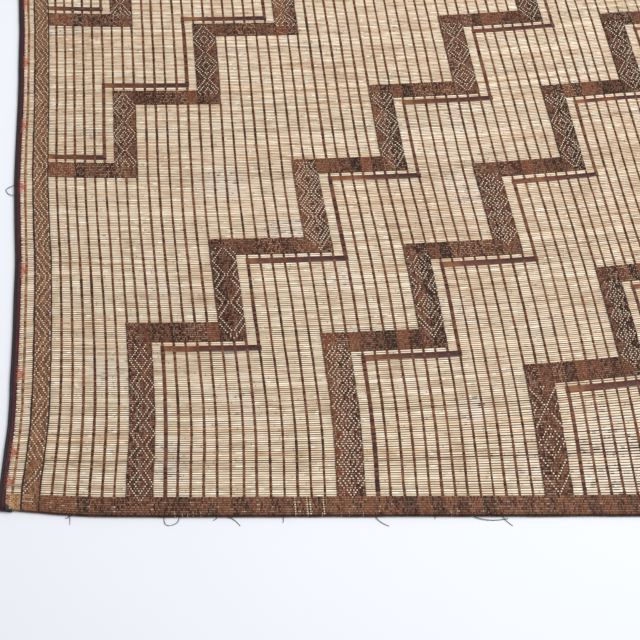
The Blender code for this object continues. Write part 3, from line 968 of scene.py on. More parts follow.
@dataclass(frozen=True)
class PlainFinish:
    """Rolled leather, thread or cord: one hue, worn lighter in patches, with grain and creases."""

    name: str
    colour: Triple | Stops
    worn: Triple
    stretch: Triple = (200.0, 40.0, 200.0)
    worn_marks: Marks = (0.42, 0.70)
    rough_marks: Marks = (0.0, 1.0, 0.45, 0.65)
    specular: float = 0.2
    grain_scale: float = 900.0
    crease: Noise = Noise((90.0, 420.0, 90.0), 3.0, 0.6)
    crease_depth: float = 0.0
    bump_depth: float = 0.0003
    bump_strength: float = 0.6

    def unworn(self, sheet: NodeSheet, places: Socket) -> Value:
        """The colour where it isn't worn."""
        return self.colour

    def make(self) -> Material:
        """Makes the material.

        Returns:
            The material.
        """
        material, sheet, shader = start_finish(self.name)
        places = sheet.places()
        worn = sheet.patches(places, Patch(self.stretch, *self.worn_marks))
        colour = sheet.mix(worn, self.unworn(sheet, places), self.worn)
        sheet.coat(shader, colour, sheet.spread(worn, *self.rough_marks), self.specular)
        height = sheet.use(Effects.grain(), places, Scale=self.grain_scale).outputs["Height"]
        if self.crease_depth:
            height = sheet.weighed(height, (sheet.noise(places, self.crease), self.crease_depth))
        sheet.bump(shader, height, self.bump_depth, self.bump_strength)
        return material


@dataclass(frozen=True)
class BindingFinish(PlainFinish):
    """Rolled leather, near-black with a dark crimson strip towards the reeds."""

    plum: Triple = (0.070, 0.008, 0.020)
    plum_from: float = 0.68
    plum_to: float = 0.90
    border: float = 0.06
    ragged: Noise = Noise((0.0, 120.0, 0.0))
    ragged_share: float = 0.3

    def unworn(self, sheet: NodeSheet, places: Socket) -> Value:
        """Black with the crimson strip.

        Args:
            sheet: The material's nodes.
            places: Object coordinates.

        Returns:
            The colour.
        """
        ragged = sheet.from_middle(sheet.noise(places, self.ragged))
        share = sheet.weighed(sheet.apart(sheet.lie()).outputs["X"], (ragged, self.ragged_share))
        start = sheet.spread(share, self.plum_from - self.border, self.plum_from + self.border)
        stop = sheet.spread(share, self.plum_to + self.border, self.plum_to - self.border)
        return sheet.mix(sheet.times(start, stop), self.colour, self.plum)


@dataclass(frozen=True)
class StripFinish(PlainFinish):
    """Leather of the level strips, whose tones follow each other from its start."""

    reach: float = 0.16
    slow: Noise = Noise((24.0, 12.0, 0.0), 3.0, 0.6)
    slow_share: float = 1.6

    def unworn(self, sheet: NodeSheet, places: Socket) -> Value:
        """The tone at a distance along the strip.

        Args:
            sheet: The material's nodes.
            places: Object coordinates.

        Returns:
            The colour.
        """
        length = sheet.math("DIVIDE", sheet.apart(sheet.lie()).outputs["X"], self.reach)
        slow = sheet.from_middle(sheet.noise(places, self.slow))
        return sheet.ramp(sheet.weighed(length, (slow, self.slow_share)), self.colour)


@dataclass(frozen=True)
class FloorFinish:
    """Pale studio floor with a faint unevenness."""

    light: Triple = (0.78, 0.795, 0.83)
    shade: Triple = (0.77, 0.785, 0.82)
    uneven: Noise = Noise(detail=3.0, scale=3.0)
    rough_marks: Marks = (0.0, 1.0, 0.6, 0.7)
    specular: float = 0.5

    def make(self) -> Material:
        """Makes the material.

        Returns:
            The material.
        """
        material, sheet, shader = start_finish("pale_floor")
        uneven = sheet.noise(sheet.places(), self.uneven)
        colour = sheet.mix(uneven, self.light, self.shade)
        sheet.coat(shader, colour, sheet.spread(uneven, *self.rough_marks), self.specular)
        return material


@dataclass
class ReedMat:
    """The mat's reeds, each a stalk of its own that wanders and tapers a little."""

    grid: MatGrid
    sections: int = 13
    sides: int = 8
    end_section: float = 0.0003
    half_width: float = 0.00194
    half_height: float = 0.00196
    middle: float = 0.00285
    knots: int = 9
    sway: float = 0.00025
    lift_knots: int = 11
    lift: float = 0.00010
    lift_spread: float = 0.00005
    taper: float = 0.03
    size_spread: float = 0.03
    thinnest: float = 0.78
    thickest: float = 1.07
    seed: int = 11

    def build(self) -> Piece:
        """Makes all reeds.

        Returns:
            The piece.
        """
        rng = np.random.default_rng(self.seed)
        grid = self.grid
        rows = grid.rows
        across = np.linspace(-grid.reed_end, grid.width + grid.reed_end, self.sections)
        extra = across[0] + self.end_section, 0.0, across[-1] - self.end_section
        across = np.sort(np.append(across, extra))
        count = len(across)
        sway = wander(rng, rows, count, self.knots) * self.sway
        lift = wander(rng, rows, count, self.lift_knots) * self.lift
        lift = lift + rng.normal(0.0, self.lift_spread, (rows, 1))
        taper = np.linspace(-1, 1, count) * rng.choice((-1.0, 1.0), (rows, 1)) * self.taper
        size = 1 + taper + rng.normal(0.0, self.size_spread, (rows, 1))
        size = size + wander(rng, rows, count, self.knots) * self.size_spread
        size = np.clip(size, self.thinnest, self.thickest)
        along = (np.arange(rows)[:, None] + 0.5) * grid.reed_pitch + sway
        angle = np.arange(self.sides) * 2 * math.pi / self.sides
        out = along[:, :, None] + np.cos(angle) * (self.half_width * size)[:, :, None]
        up = (self.middle + lift)[:, :, None] + np.sin(angle) * (self.half_height * size)[:, :, None]
        places = grid.lay(across[None, :, None], out, up)
        fabric = Fabric()
        for row in range(rows):
            lie = np.empty((count, self.sides, 2))
            lie[:, :, 0] = across[:, None]
            lie[:, :, 1] = row + 0.5
            fabric.add_tube(places[row], lie)
        return fabric.make("reeds")


@dataclass(frozen=True)
class Stair:
    """One stair band: its first upright, its cross bands' rows and its diamonds."""

    first_column: int
    rows: tuple[int, ...]
    first_band_rows: int
    charts: tuple[Chart, ...]


@dataclass
class Layout:
    """Which strands, columns and rows the stairs and their step lines take up."""

    grid: MatGrid
    step_columns: int = 8
    band_columns: int = 2
    band_rows: int = 9
    line_offset: int = 3
    line_below: float = 4.45
    line_rows: float = 2.0
    step_rows: int = 46
    centre_strand: int = 9
    widest: int = 8
    dot_loss: float = 0.03
    faintest_dot: float = 0.7
    stairs: tuple[Stair, ...] = (
        Stair(7, (81, 127, 173), 10, (Chart.WAISTED, Chart.CROSSED, Chart.LATTICE, Chart.NESTED)),
        Stair(23, (74, 121, 166), 10, (Chart.CLOSE, Chart.LARGE, Chart.EVEN, Chart.NESTED)),
        Stair(39, (53, 101), 10, (Chart.SINGLE, Chart.SMALL, Chart.NESTED)),
        Stair(55, (63,), 9, (Chart.CLOSE, Chart.NESTED)),
        Stair(71, (70,), 9, (Chart.WAISTED,)),
    )

    def levels(self, stair: Stair) -> list[tuple[int, int, int]]:
        """Uprights of a stair with the cross bands above them.

        Args:
            stair: Which stair.

        Returns:
            Column of each upright, with its cross band's lower row and height in rows.
        """
        last = self.grid.columns - self.band_columns
        columns = list(range(stair.first_column, last, self.step_columns))
        rows = list(stair.rows)[: len(columns)]
        while len(rows) < len(columns):
            rows.append(rows[-1] + self.step_rows)
        heights = [stair.first_band_rows] + [self.band_rows] * (len(columns) - 1)
        return list(zip(columns, rows, heights))

    def blocks(self, stair: Stair, back: bool) -> list[tuple[int, int, int, int]]:
        """Rectangles of a stair, each as first and last column and row.

        Args:
            stair: Which stair.
            back: Whether it is the one that is turned half round.

        Returns:
            The uprights and the cross bands, in turn.
        """
        levels = self.levels(stair)
        wide, high = self.grid.columns, self.grid.rows
        found = []
        low = self.grid.end_rows
        for index, (column, row, height) in enumerate(levels):
            right = column + self.band_columns
            found.append((column, right, low, row + height))
            beyond = levels[index + 1][0] if index + 1 < len(levels) else wide
            if beyond > right:
                found.append((right, beyond, row, row + height))
            low = row
        if back:
            found = [(wide - right, wide - left, high - top, high - low) for left, right, low, top in found]
        return found

    def dots(self, rng: np.random.Generator) -> Array:
        """Strength of the cream dots.

        Args:
            rng: Source of the strengths.

        Returns:
            A value for each strand and row of the field.
        """
        grid = self.grid
        shown = np.zeros((grid.columns * grid.column_strands, grid.rows))
        for stair in self.stairs:
            front = np.zeros_like(shown)
            low = 0
            for index, (column, row, _) in enumerate(self.levels(stair)):
                chart = stair.charts[min(index, len(stair.charts) - 1)].value
                middle = column * grid.column_strands + self.centre_strand
                self.draw_diamonds(front, chart, middle, low, row + chart.last)
                low = row
            shown = np.maximum(shown, np.maximum(front, front[::-1, ::-1]))
        strength = rng.uniform(self.faintest_dot, 1.0, shown.shape)
        return shown * strength * (rng.random(shown.shape) > self.dot_loss)

    def draw_diamonds(self, shown: Array, chart: Diamonds, middle: int, foot: int, last: int) -> None:
        """Draws a column of nested diamonds.

        Args:
            shown: Dots by strand and row, drawn into.
            chart: The chart of its diamonds.
            middle: The middle strand.
            foot: Row of the upright's foot.
            last: Highest row with dots.
        """
        rise = max(ring[1] for ring in chart.rings)
        lowest = foot + chart.centre
        for row in range(math.ceil(lowest - rise), last + 1):
            step = max(math.floor((row - lowest) / chart.period + 0.5), 0)
            away = abs(row - math.floor(lowest + step * chart.period + 0.5))
            for reach, up in chart.rings:
                side = math.floor(reach * (1 - away / up) + 0.5)
                if away <= up and side <= self.widest:
                    shown[[middle - side, middle + side], row] = 1.0

    def covered(self) -> Array:
        """Where thongs are hidden by a band.

        Returns:
            Whether they are, for each thong column and row.
        """
        hidden = np.zeros((self.grid.columns + 1, self.grid.rows), bool)
        hidden[:, : self.grid.end_rows] = True
        for stair in self.stairs:
            for left, right, low, high in self.blocks(stair, False):
                inset = 1 if right - left > self.band_columns else 0
                hidden[left : right + 1, low + inset : high - inset] = True
        return hidden | hidden[::-1, ::-1]

    def line_runs(self) -> list[tuple[int, float, float]]:
        """Uprights of the step lines.

        Returns:
            Column, first row and last row of each.
        """
        runs = []
        wide, high = self.grid.columns, self.grid.rows
        for stair in self.stairs:
            low = float(self.grid.end_rows)
            for column, row, _ in self.levels(stair):
                if column + self.line_offset < wide:
                    runs.append((column + self.line_offset, low, row - self.line_below + self.line_rows))
                low = row - self.line_below
        return runs + [(wide - column, high - top, high - low) for column, low, top in runs]

    def line_strips(self) -> list[tuple[int, int, float]]:
        """Level strips of the step lines.

        Returns:
            First column, last column and lower row of each.
        """
        strips = []
        wide, high = self.grid.columns, self.grid.rows
        for stair in self.stairs:
            levels = self.levels(stair)
            for index, (column, row, _) in enumerate(levels):
                beyond = levels[index + 1][0] + self.line_offset if index + 1 < len(levels) else wide
                strips.append((column + self.line_offset, min(beyond, wide), row - self.line_below))
        turned = [(wide - right, wide - left, high - low - self.line_rows) for left, right, low in strips]
        return strips + turned


@dataclass
class Weaving:
    """Woven leather bands: a grid of strands by reeds, with a crest over each reed."""

    grid: MatGrid
    layout: Layout
    crest: float = 0.0066
    valley: float = 0.0055
    uneven: float = 0.00014
    spill: float = 0.0021
    edge_sway: float = 0.0005
    # Painted shade along the bands' edges and hems
    edge_shade: float = 0.3
    spot_shade: float = 0.6
    pair_strength: float = 0.55
    pair_share: float = 0.35
    hem_rows: float = 0.12
    hem_height: float = 0.0022
    faintest_pair: float = 0.2
    dotted_strands: tuple[int, ...] = (177, 185, 187, 196)
    faintest_dot: float = 0.6
    rows_in_sway: int = 4
    seed: int = 5

    def __post_init__(self) -> None:
        """Draws the dots and the dark spots beside them."""
        self.rng = np.random.default_rng(self.seed)
        self.shown = self.layout.dots(self.rng)
        self.shades = self.spots(self.shown)

    def spots(self, dots: Array) -> Array:
        """Dark spots beside the dots, for each strand and row."""
        beside = (np.roll(dots, 1, axis=0) + np.roll(dots, -1, axis=0) > 0) & (dots == 0)
        return beside * self.rng.uniform(0.0, self.spot_shade, dots.shape)

    def patch(self, fabric: Fabric, edges: Array, rows: tuple[int, int], first: int, dots: Array,
              shades: Array) -> None:
        """Adds one woven rectangle.

        Args:
            fabric: What it is added to.
            edges: Distances across of the strands' edges.
            rows: First and last row.
            first: Number of the first strand, for its tone.
            dots: Dots by strand and row of the rectangle.
            shades: Dark spots by strand and row of the rectangle.
        """
        low, high = rows
        half_rows = np.arange(2 * (high - low) + 1)[:, None] / 2 + low
        crest = np.arange(len(half_rows))[:, None] % 2
        height = self.valley + (self.crest - self.valley) * crest
        sheets = [half_rows, height, np.repeat(dots.T, 2, axis=0), np.repeat(shades.T, 2, axis=0)]
        ends = ((low == 0, low - self.hem_rows, False),
                (high == self.grid.rows, high + self.hem_rows, True))
        for reached, row, back in ends:
            if reached:
                # The hem row gets painted shade
                values = row, self.hem_height, 0.0, self.edge_shade
                hem = ((0, 1) if back else (1, 0), (0, 0))
                sheets = [np.pad(sheet, hem, constant_values=value) for sheet, value in zip(sheets, values)]
        half_rows, height, dots, shades = sheets
        shape = len(half_rows), len(edges)
        height = height + self.rng.normal(0.0, self.uneven, shape)
        across = edges[None, :] + self.rng.normal(0.0, self.uneven, shape)
        knots = max((high - low) // self.rows_in_sway, 2)
        across[:, [0, -1]] += (wander(self.rng, 2, len(half_rows), knots) * self.edge_sway).T
        strand = np.broadcast_to(first + np.arange(len(edges))[None, :], shape)
        lie = np.stack((strand, np.broadcast_to(half_rows, shape)), axis=-1)
        places = self.grid.lay(across, half_rows * self.grid.reed_pitch, height)
        fabric.add_grid(places, lie, dots=dots, shades=shades)

    def stair(self, number: int, back: bool) -> Piece:
        """Makes one stair band.

        Args:
            number: Which stair, from 0.
            back: Whether it is the one that is turned half round.

        Returns:
            The piece.
        """
        fabric = Fabric()
        strands = self.grid.column_strands
        for left, right, low, high in self.layout.blocks(self.layout.stairs[number], back):
            upright = right - left == self.layout.band_columns
            spill = self.spill if upright else -self.spill
            edges = np.linspace(left * self.grid.thong_pitch - spill, right * self.grid.thong_pitch + spill,
                                (right - left) * strands + 1)
            part = slice(left * strands, right * strands), slice(low, high)
            shades = self.shades[part].copy()
            # Painted shade along an upright's two edge strands
            if upright:
                shades[[0, -1]] = np.maximum(shades[[0, -1]], self.edge_shade)
            self.patch(fabric, edges, (low, high), left * strands, self.shown[part], shades)
        end = End.BACK if back else End.FRONT
        return fabric.make(f"woven_stair_{end.value}_{number + 1}")

    def end_band(self, end: End) -> Piece:
        """Makes the woven band of one end, with pairs of dots beside the thongs' lines.

        Args:
            end: Which end.

        Returns:
            The piece.
        """
        fabric = Fabric()
        grid = self.grid
        rows = grid.end_rows
        low = 0 if end is End.FRONT else grid.rows - rows
        dots = self.shown[:, low : low + rows].copy()
        for column in range(1, grid.columns):
            middle = column * grid.column_strands
            for row in range(1 + column % 2, rows - 1, 2):
                shown = self.rng.random() < self.pair_share
                pair = self.pair_strength * self.rng.uniform(self.faintest_pair, 1.0, 2)
                dots[[middle - 1, middle], row] = pair * shown
        for strand in self.dotted_strands:
            strand = strand if end is End.FRONT else -1 - strand
            dots[strand] = self.rng.uniform(self.faintest_dot, 1.0, rows)
        shades = self.shades[:, low : low + rows].copy()
        # Painted shade along the outermost row at the mat's edge
        outermost = 0 if end is End.FRONT else -1
        shades[:, outermost] = self.edge_shade
        edges = np.arange(dots.shape[0] + 1) * grid.strand_pitch
        self.patch(fabric, edges, (low, low + rows), 0, dots, shades)
        return fabric.make(f"woven_end_{end.value}")


@dataclass
class GuardBand:
    """Woven band down one side: zigzag lines of dots between two black strands."""

    grid: MatGrid
    weaving: Weaving
    side: Side
    strands: int = 12
    columns_beyond: int = 2
    border_rows: tuple[int, ...] = (4, 6, 7)
    border_strands: tuple[int, int] = (1, 8)
    border_strength: float = 0.45
    runs: tuple[int, ...] = (24, -17, 13, -16, 14, -16, 15, -17, 15, -15, 17, -16)
    steep_rows: int = 41
    first_slope: float = 0.92
    slope: float = 0.8
    first_lines: tuple[int, ...] = (3, 6)
    first_period: int = 13
    lines: tuple[int, ...] = (0, 4, 7)
    line_period: int = 11
    faintest_dot: float = 0.55
    black: float = 0.93

    def chart(self) -> Array:
        """Zigzag lines of dots.

        Returns:
            Their strength by strand and row.
        """
        rows = self.grid.rows
        ways = np.concatenate([np.full(abs(run), np.sign(run)) for run in self.runs])
        slopes = np.where(np.arange(rows) < self.steep_rows, self.first_slope, self.slope)
        turn = np.floor(np.cumsum(np.resize(ways, rows) * slopes) + 0.5)
        place = np.arange(self.strands)[:, None] - turn[None, :]
        shown = np.isin(place % self.line_period, self.lines).astype(float)
        first = slice(0, self.runs[0])
        shown[:, first] = np.isin(place[:, first] % self.first_period, self.first_lines)
        edge = self.grid.end_rows
        shown[:, :edge] = 0.0
        shown[:, -edge:] = 0.0
        for row in self.border_rows:
            shown[slice(*self.border_strands), [row, -1 - row]] = self.border_strength
        shown[[0, -1]] = 0.0
        return shown * self.weaving.rng.uniform(self.faintest_dot, 1.0, shown.shape)

    def build(self) -> Piece:
        """Makes the band.

        Returns:
            The piece.
        """
        grid = self.grid
        edges = np.linspace(-grid.guard_outer, grid.guard_inner, self.strands + 1)
        dots = self.chart()
        first = -self.strands
        if self.side is Side.RIGHT:
            edges = grid.width - edges[::-1]
            dots = dots[::-1]
            first = (grid.columns + self.columns_beyond) * grid.column_strands
        shades = self.weaving.spots(dots)
        shades[[0, -1]] = self.black
        fabric = Fabric()
        self.weaving.patch(fabric, edges, (0, grid.rows), first, dots, shades)
        return fabric.make(f"woven_guard_{self.side.value}")


@dataclass
class CornerPatch:
    """Ochre woven square in one corner."""

    grid: MatGrid
    weaving: Weaving
    side: Side
    end: End
    strands: int = 7
    dotted_strand: int = 1
    inner_gap: float = 0.0003
    outer_gap: float = 0.0028

    def build(self) -> Piece:
        """Makes the patch.

        Returns:
            The piece.
        """
        grid = self.grid
        outer, inner = -grid.reed_end + self.outer_gap, -grid.guard_outer - self.inner_gap
        edges = np.linspace(outer, inner, self.strands + 1)
        if self.side is Side.RIGHT:
            edges = grid.width - edges[::-1]
        low = 0 if self.end is End.FRONT else grid.rows - grid.end_rows
        dots = np.zeros((self.strands, grid.end_rows))
        shades = np.zeros_like(dots)
        dots[self.dotted_strand] = self.weaving.pair_strength
        fabric = Fabric()
        self.weaving.patch(fabric, edges, (low, low + grid.end_rows), 0, dots, shades)
        return fabric.make(f"woven_corner_{self.end.value}_{self.side.value}")


def open_runs(hidden: Array) -> list[tuple[int, int]]:
    """Stretches of a column that aren't hidden, as first row and the row after the last."""
    marks = np.flatnonzero(np.diff(np.concatenate(([1], hidden.astype(int), [1]))))
    return list(zip(marks[::2], marks[1::2]))


@dataclass
class Thongs:
    """Leather thongs that hold the reeds, rising over each reed and dipping between."""

    grid: MatGrid
    layout: Layout
    half_width: float = 0.0022
    narrow: float = 0.90
    crest: float = 0.0058
    dip: float = 0.0046
    edge_drop: float = 0.0008
    over_strip: float = 0.0007
    bend_knots: int = 14
    bend: float = 0.0009
    waver_knots: int = 90
    waver: float = 0.0003
    swell_knots: int = 40
    swell_share: float = 0.12
    width_spread: float = 0.06
    tone_spread: float = 0.3
    seed: int = 23

    def __post_init__(self) -> None:
        """Seeds the wandering of the thongs, and finds where they pass over strips."""
        rng = np.random.default_rng(self.seed)
        shape = self.grid.columns + 3, 2 * self.grid.rows + 1
        bend = wander(rng, *shape, self.bend_knots) * self.bend
        self.sway = bend + wander(rng, *shape, self.waver_knots) * self.waver
        swell = 1 + wander(rng, *shape, self.swell_knots) * self.swell_share
        swell = swell + rng.normal(0.0, self.width_spread, (shape[0], 1))
        self.swell = swell * (1 + rng.normal(0.0, self.width_spread, shape))
        self.raised = np.zeros(shape)
        for left, right, low in self.layout.line_strips():
            span = slice(round(low * 2) - 1, round((low + self.layout.line_rows) * 2) + 2)
            self.raised[left : right + 1, span] = self.over_strip

    def ribbon(self, fabric: Fabric, line: float, number: int, rows: Pair, half_width: float,
               lift: float = 0.0) -> None:
        """Adds one stretch of thong.

        Args:
            fabric: What it is added to.
            line: Distance across of the thong's line.
            number: Which thong it is, for its sway and tone.
            rows: First and last row.
            half_width: Half of its width.
            lift: How much higher than usual it lies.
        """
        index = np.arange(round(rows[0] * 2), round(rows[1] * 2) + 1)
        crest = (index % 2)[:, None]
        share = np.array([-1.0, 0.0, 1.0])[None, :]
        swell = self.swell[number, index][:, None] * (self.narrow + (1 - self.narrow) * crest)
        across = line + self.sway[number, index][:, None]
        height = self.dip + (self.crest - self.dip) * crest + lift - self.edge_drop * np.abs(share)
        height = height + self.raised[number, index][:, None]
        along = (index / 2 * self.grid.reed_pitch)[:, None]
        places = self.grid.lay(across, along, height)
        places[..., 0] += share * half_width * swell
        wide = np.broadcast_to(number + 0.5 + share * self.tone_spread, height.shape)
        lie = np.stack((wide, np.broadcast_to(index[:, None] / 2, height.shape)), axis=-1)
        fabric.add_grid(places, lie)

    def build(self, name: str, columns: range) -> Piece:
        """Makes the thongs of some columns as one piece.

        Args:
            name: Name of the piece.
            columns: Which columns.

        Returns:
            The piece.
        """
        hidden = self.layout.covered()
        for column, low, high in self.layout.line_runs():
            hidden[column, round(low) : round(high)] = True
        fabric = Fabric()
        for column in columns:
            for low, high in open_runs(hidden[column]):
                if high - low > 1:
                    self.ribbon(fabric, column * self.grid.thong_pitch, column, (low, high), self.half_width)
        return fabric.make(name)

    def outer(self, side: Side) -> Piece:
        """Makes the outermost thong of one side.

        Args:
            side: Which side.

        Returns:
            The piece.
        """
        fabric = Fabric()
        line = -self.grid.outer_thong
        number = self.grid.columns + 1
        if side is Side.RIGHT:
            line = self.grid.width - line
            number += 1
        rows = (self.grid.end_rows, self.grid.rows - self.grid.end_rows)
        self.ribbon(fabric, line, number, rows, self.half_width)
        return fabric.make(f"outer_thong_{side.value}")


@dataclass
class StepLines:
    """Narrow dark lines beside the stairs: thick thongs and strips that lie like reeds."""

    grid: MatGrid
    layout: Layout
    thongs: Thongs
    half_width: float = 0.0031
    lift: float = 0.0005
    strip_top: float = 0.0057
    strip_edge: float = 0.0046
    strip_sag: float = 0.0004
    strip_spill: float = 0.3
    strip_shares: Marks = (1.0, 0.82, 0.5, 0.18, 0.0)
    strip_knots: int = 5
    strip_sway: float = 0.12
    piece_length: float = 0.005
    seed: int = 31

    def uprights(self) -> Piece:
        """Makes the upright stretches.

        Returns:
            The piece.
        """
        fabric = Fabric()
        for column, low, high in self.layout.line_runs():
            line = column * self.grid.thong_pitch
            self.thongs.ribbon(fabric, line, column, (low, high), self.half_width, self.lift)
        return fabric.make("step_line_thongs")

    def strips(self) -> Piece:
        """Makes the level strips.

        Returns:
            The piece.
        """
        rng = np.random.default_rng(self.seed)
        fabric = Fabric()
        share = np.array(self.strip_shares)[None, :]
        edge, top = self.strip_edge, self.strip_top
        height = np.array((edge, top, top - self.strip_sag, top, edge))[None, :]
        for left, right, low in self.layout.line_strips():
            start = left * self.grid.thong_pitch - self.half_width
            end = right * self.grid.thong_pitch + self.half_width
            across = np.linspace(start, end, max(int((end - start) / self.piece_length), 2))[:, None]
            sway = wander(rng, 1, len(across), self.strip_knots).T * self.strip_sway
            rows = low + sway - self.strip_spill + share * (self.layout.line_rows + 2 * self.strip_spill)
            places = self.grid.lay(across, rows * self.grid.reed_pitch, height)
            wide = np.broadcast_to(across - start, rows.shape)
            fabric.add_grid(places, np.stack((wide, rows), axis=-1))
        return fabric.make("step_line_strips")


@dataclass
class Binding:
    """Rolled leather along one side, over the reeds' ends.

    Its profile is given as shares of its width, from outside, and of its height.
    """

    grid: MatGrid
    side: Side
    width: float = 0.0107
    height: float = 0.0075
    overrun: float = 0.0035
    gap: float = 0.0003
    sections: int = 180
    lump_knots: int = 90
    lump: float = 0.035
    sway_knots: int = 60
    sway: float = 0.0004
    lowest: float = 0.01
    highest: float = 1.03
    profile: tuple[Pair, ...] = (
        (0.70, 0.01), (0.30, 0.01), (0.06, 0.16), (0.00, 0.45), (0.05, 0.78), (0.18, 0.93), (0.31, 0.91),
        (0.37, 0.80), (0.44, 0.93), (0.60, 1.00), (0.74, 0.92), (0.79, 0.76), (0.86, 0.84), (0.95, 0.66),
        (1.00, 0.36), (0.94, 0.12),
    )
    seed: int = 41

    def build(self) -> Piece:
        """Makes the binding as a tube that wanders a little.

        Returns:
            The piece.
        """
        grid = self.grid
        rng = np.random.default_rng(self.seed + (self.side is Side.RIGHT))
        along = np.linspace(-self.overrun, grid.length + self.overrun, self.sections)[:, None]
        share, tall = np.array(self.profile).T
        lumps = 1 + wander(rng, len(share), self.sections, self.lump_knots).T * self.lump
        across = -grid.reed_end - self.gap - self.width * (1 - share)[None, :]
        sway = wander(rng, 1, self.sections, self.sway_knots).T * self.sway
        across = across + sway * (1 - share)[None, :]
        if self.side is Side.RIGHT:
            across = grid.width - across
        height = self.height * np.clip(tall[None, :] * lumps, self.lowest, self.highest)
        places = grid.lay(across, along, height)
        lie = np.stack(np.broadcast_arrays(share[None, :], along), axis=-1)
        fabric = Fabric()
        fabric.add_tube(places, lie)
        return fabric.make(f"rolled_binding_{self.side.value}", closed=True)


def add_strand(fabric: Fabric, grid: MatGrid, route: Array, radius: Array, sides: int = 5) -> None:
    """Adds a thin round strand.

    Args:
        fabric: What it is added to.
        grid: The mat's grid.
        route: Places on the grid with their heights, one row each.
        radius: Half of its thickness at each place.
        sides: Faces around it.
    """
    ahead = np.gradient(route, axis=0)
    ahead /= np.linalg.norm(ahead, axis=1)[:, None]
    level = np.cross(ahead, (0.0, 0.0, 1.0))
    level /= np.maximum(np.linalg.norm(level, axis=1), SHORTEST)[:, None]
    rise = np.cross(level, ahead)
    angle = np.arange(sides) * 2 * math.pi / sides
    ring = np.cos(angle)[None, :, None] * level[:, None, :] + np.sin(angle)[None, :, None] * rise[:, None, :]
    points = route[:, None, :] + ring * radius[:, None, None]
    run = np.concatenate(([0.0], np.cumsum(np.linalg.norm(np.diff(route, axis=0), axis=1))))
    lie = np.stack(np.broadcast_arrays(angle[None, :], run[:, None]), axis=-1)
    fabric.add_tube(grid.lay(points[..., 0], points[..., 1], points[..., 2]), lie)


@dataclass
class Lacing:
    """Dark red stitches that hold the binding, and fans of thread that lash the outer thong.

    A stitch's route is given as distances in from the reeds' ends, shares of its slant, and heights.
    """

    grid: MatGrid
    side: Side
    stitch_pitch: float = 0.0075
    stitch_slant: float = 0.0040
    stitch_radius: float = 0.00055
    stitch_spread: float = 0.0004
    stitch_sides: int = 4
    stitch_route: tuple[Triple, ...] = (
        (-0.0030, 0.0, 0.0062), (-0.0012, 0.35, 0.0067), (0.0006, 0.75, 0.0060), (0.0016, 1.0, 0.0047),
    )
    known: Marks = (0.057, 0.114, 0.267, 0.488, 0.681, 0.835)
    spacing: float = 0.172
    rest: float = 0.0285
    threads: int = 9
    base_length: float = 0.034
    reach: float = 0.0095
    start: float = 0.0024
    steps: int = 6
    base_spread: float = 0.0008
    tip_length: float = 0.004
    sway: float = 0.0003
    top: float = 0.0072
    drop: float = 0.0006
    arch: float = 0.0004
    thread_radius: float = 0.00034
    knot_length: float = 0.0060
    knot_lean: float = 0.002
    knot_height: float = 0.0068
    knot_radius: float = 0.0010
    knot_sides: int = 8
    knot_fullness: float = 1.1
    seed: int = 53

    def turned(self, route: Array) -> Array:
        """Mirrors a route where this is the right side.

        Args:
            route: A route on the left side.

        Returns:
            The route on this side.
        """
        if self.side is Side.RIGHT:
            route = route * (-1.0, 1.0, 1.0) + (self.grid.width, 0.0, 0.0)
        return route

    def stitches(self) -> Piece:
        """Makes the stitches over the binding's inner edge.

        Returns:
            The piece.
        """
        rng = np.random.default_rng(self.seed)
        fabric = Fabric()
        radius = np.full(len(self.stitch_route), self.stitch_radius)
        count = int(self.grid.length / self.stitch_pitch)
        places = (np.arange(count) + 0.5) * self.stitch_pitch + rng.normal(0.0, self.stitch_spread, count)
        for along in places:
            route = np.array(self.stitch_route) * (1.0, self.stitch_slant, 1.0)
            route = route + (-self.grid.reed_end, along, 0.0)
            add_strand(fabric, self.grid, self.turned(route), radius, self.stitch_sides)
        return fabric.make(f"lacing_stitches_{self.side.value}", closed=True)

    def lashings(self) -> tuple[Piece, Piece]:
        """Makes the fans of thread, and the knots at their tips.

        Returns:
            The fans and the knots, a piece each.
        """
        rng = np.random.default_rng(self.seed + 1)
        start = -self.grid.reed_end - self.start
        fans, knots = Fabric(), Fabric()
        step = np.linspace(0.0, 1.0, self.steps)
        height = self.top - self.drop * step + self.arch * np.sin(step * math.pi)
        level = np.full(self.steps, self.knot_height)
        away = np.linspace(-0.5, 0.5, self.steps)
        radius = self.knot_radius * np.sqrt(self.knot_fullness - (2 * away) ** 2)
        places = list(self.known)
        while places[-1] + self.spacing < self.grid.length - self.rest:
            places.append(places[-1] + self.spacing)
        for place in places:
            for share in np.linspace(-0.5, 0.5, self.threads):
                base = place + share * self.base_length + rng.normal(0.0, self.base_spread)
                tip = place + share * self.tip_length
                along = base + (tip - base) * soft_step(step) + rng.normal(0.0, self.sway, self.steps)
                route = np.stack((start + step * self.reach, along, height), axis=-1)
                add_strand(fans, self.grid, self.turned(route), np.full(self.steps, self.thread_radius))
            across = start + self.reach + away * self.knot_lean
            route = np.stack((across, place + away * self.knot_length, level), axis=-1)
            add_strand(knots, self.grid, self.turned(route), radius, self.knot_sides)
        side = self.side.value
        threads = fans.make(f"lashing_threads_{side}", closed=True)
        return threads, knots.make(f"lashing_knots_{side}", closed=True)


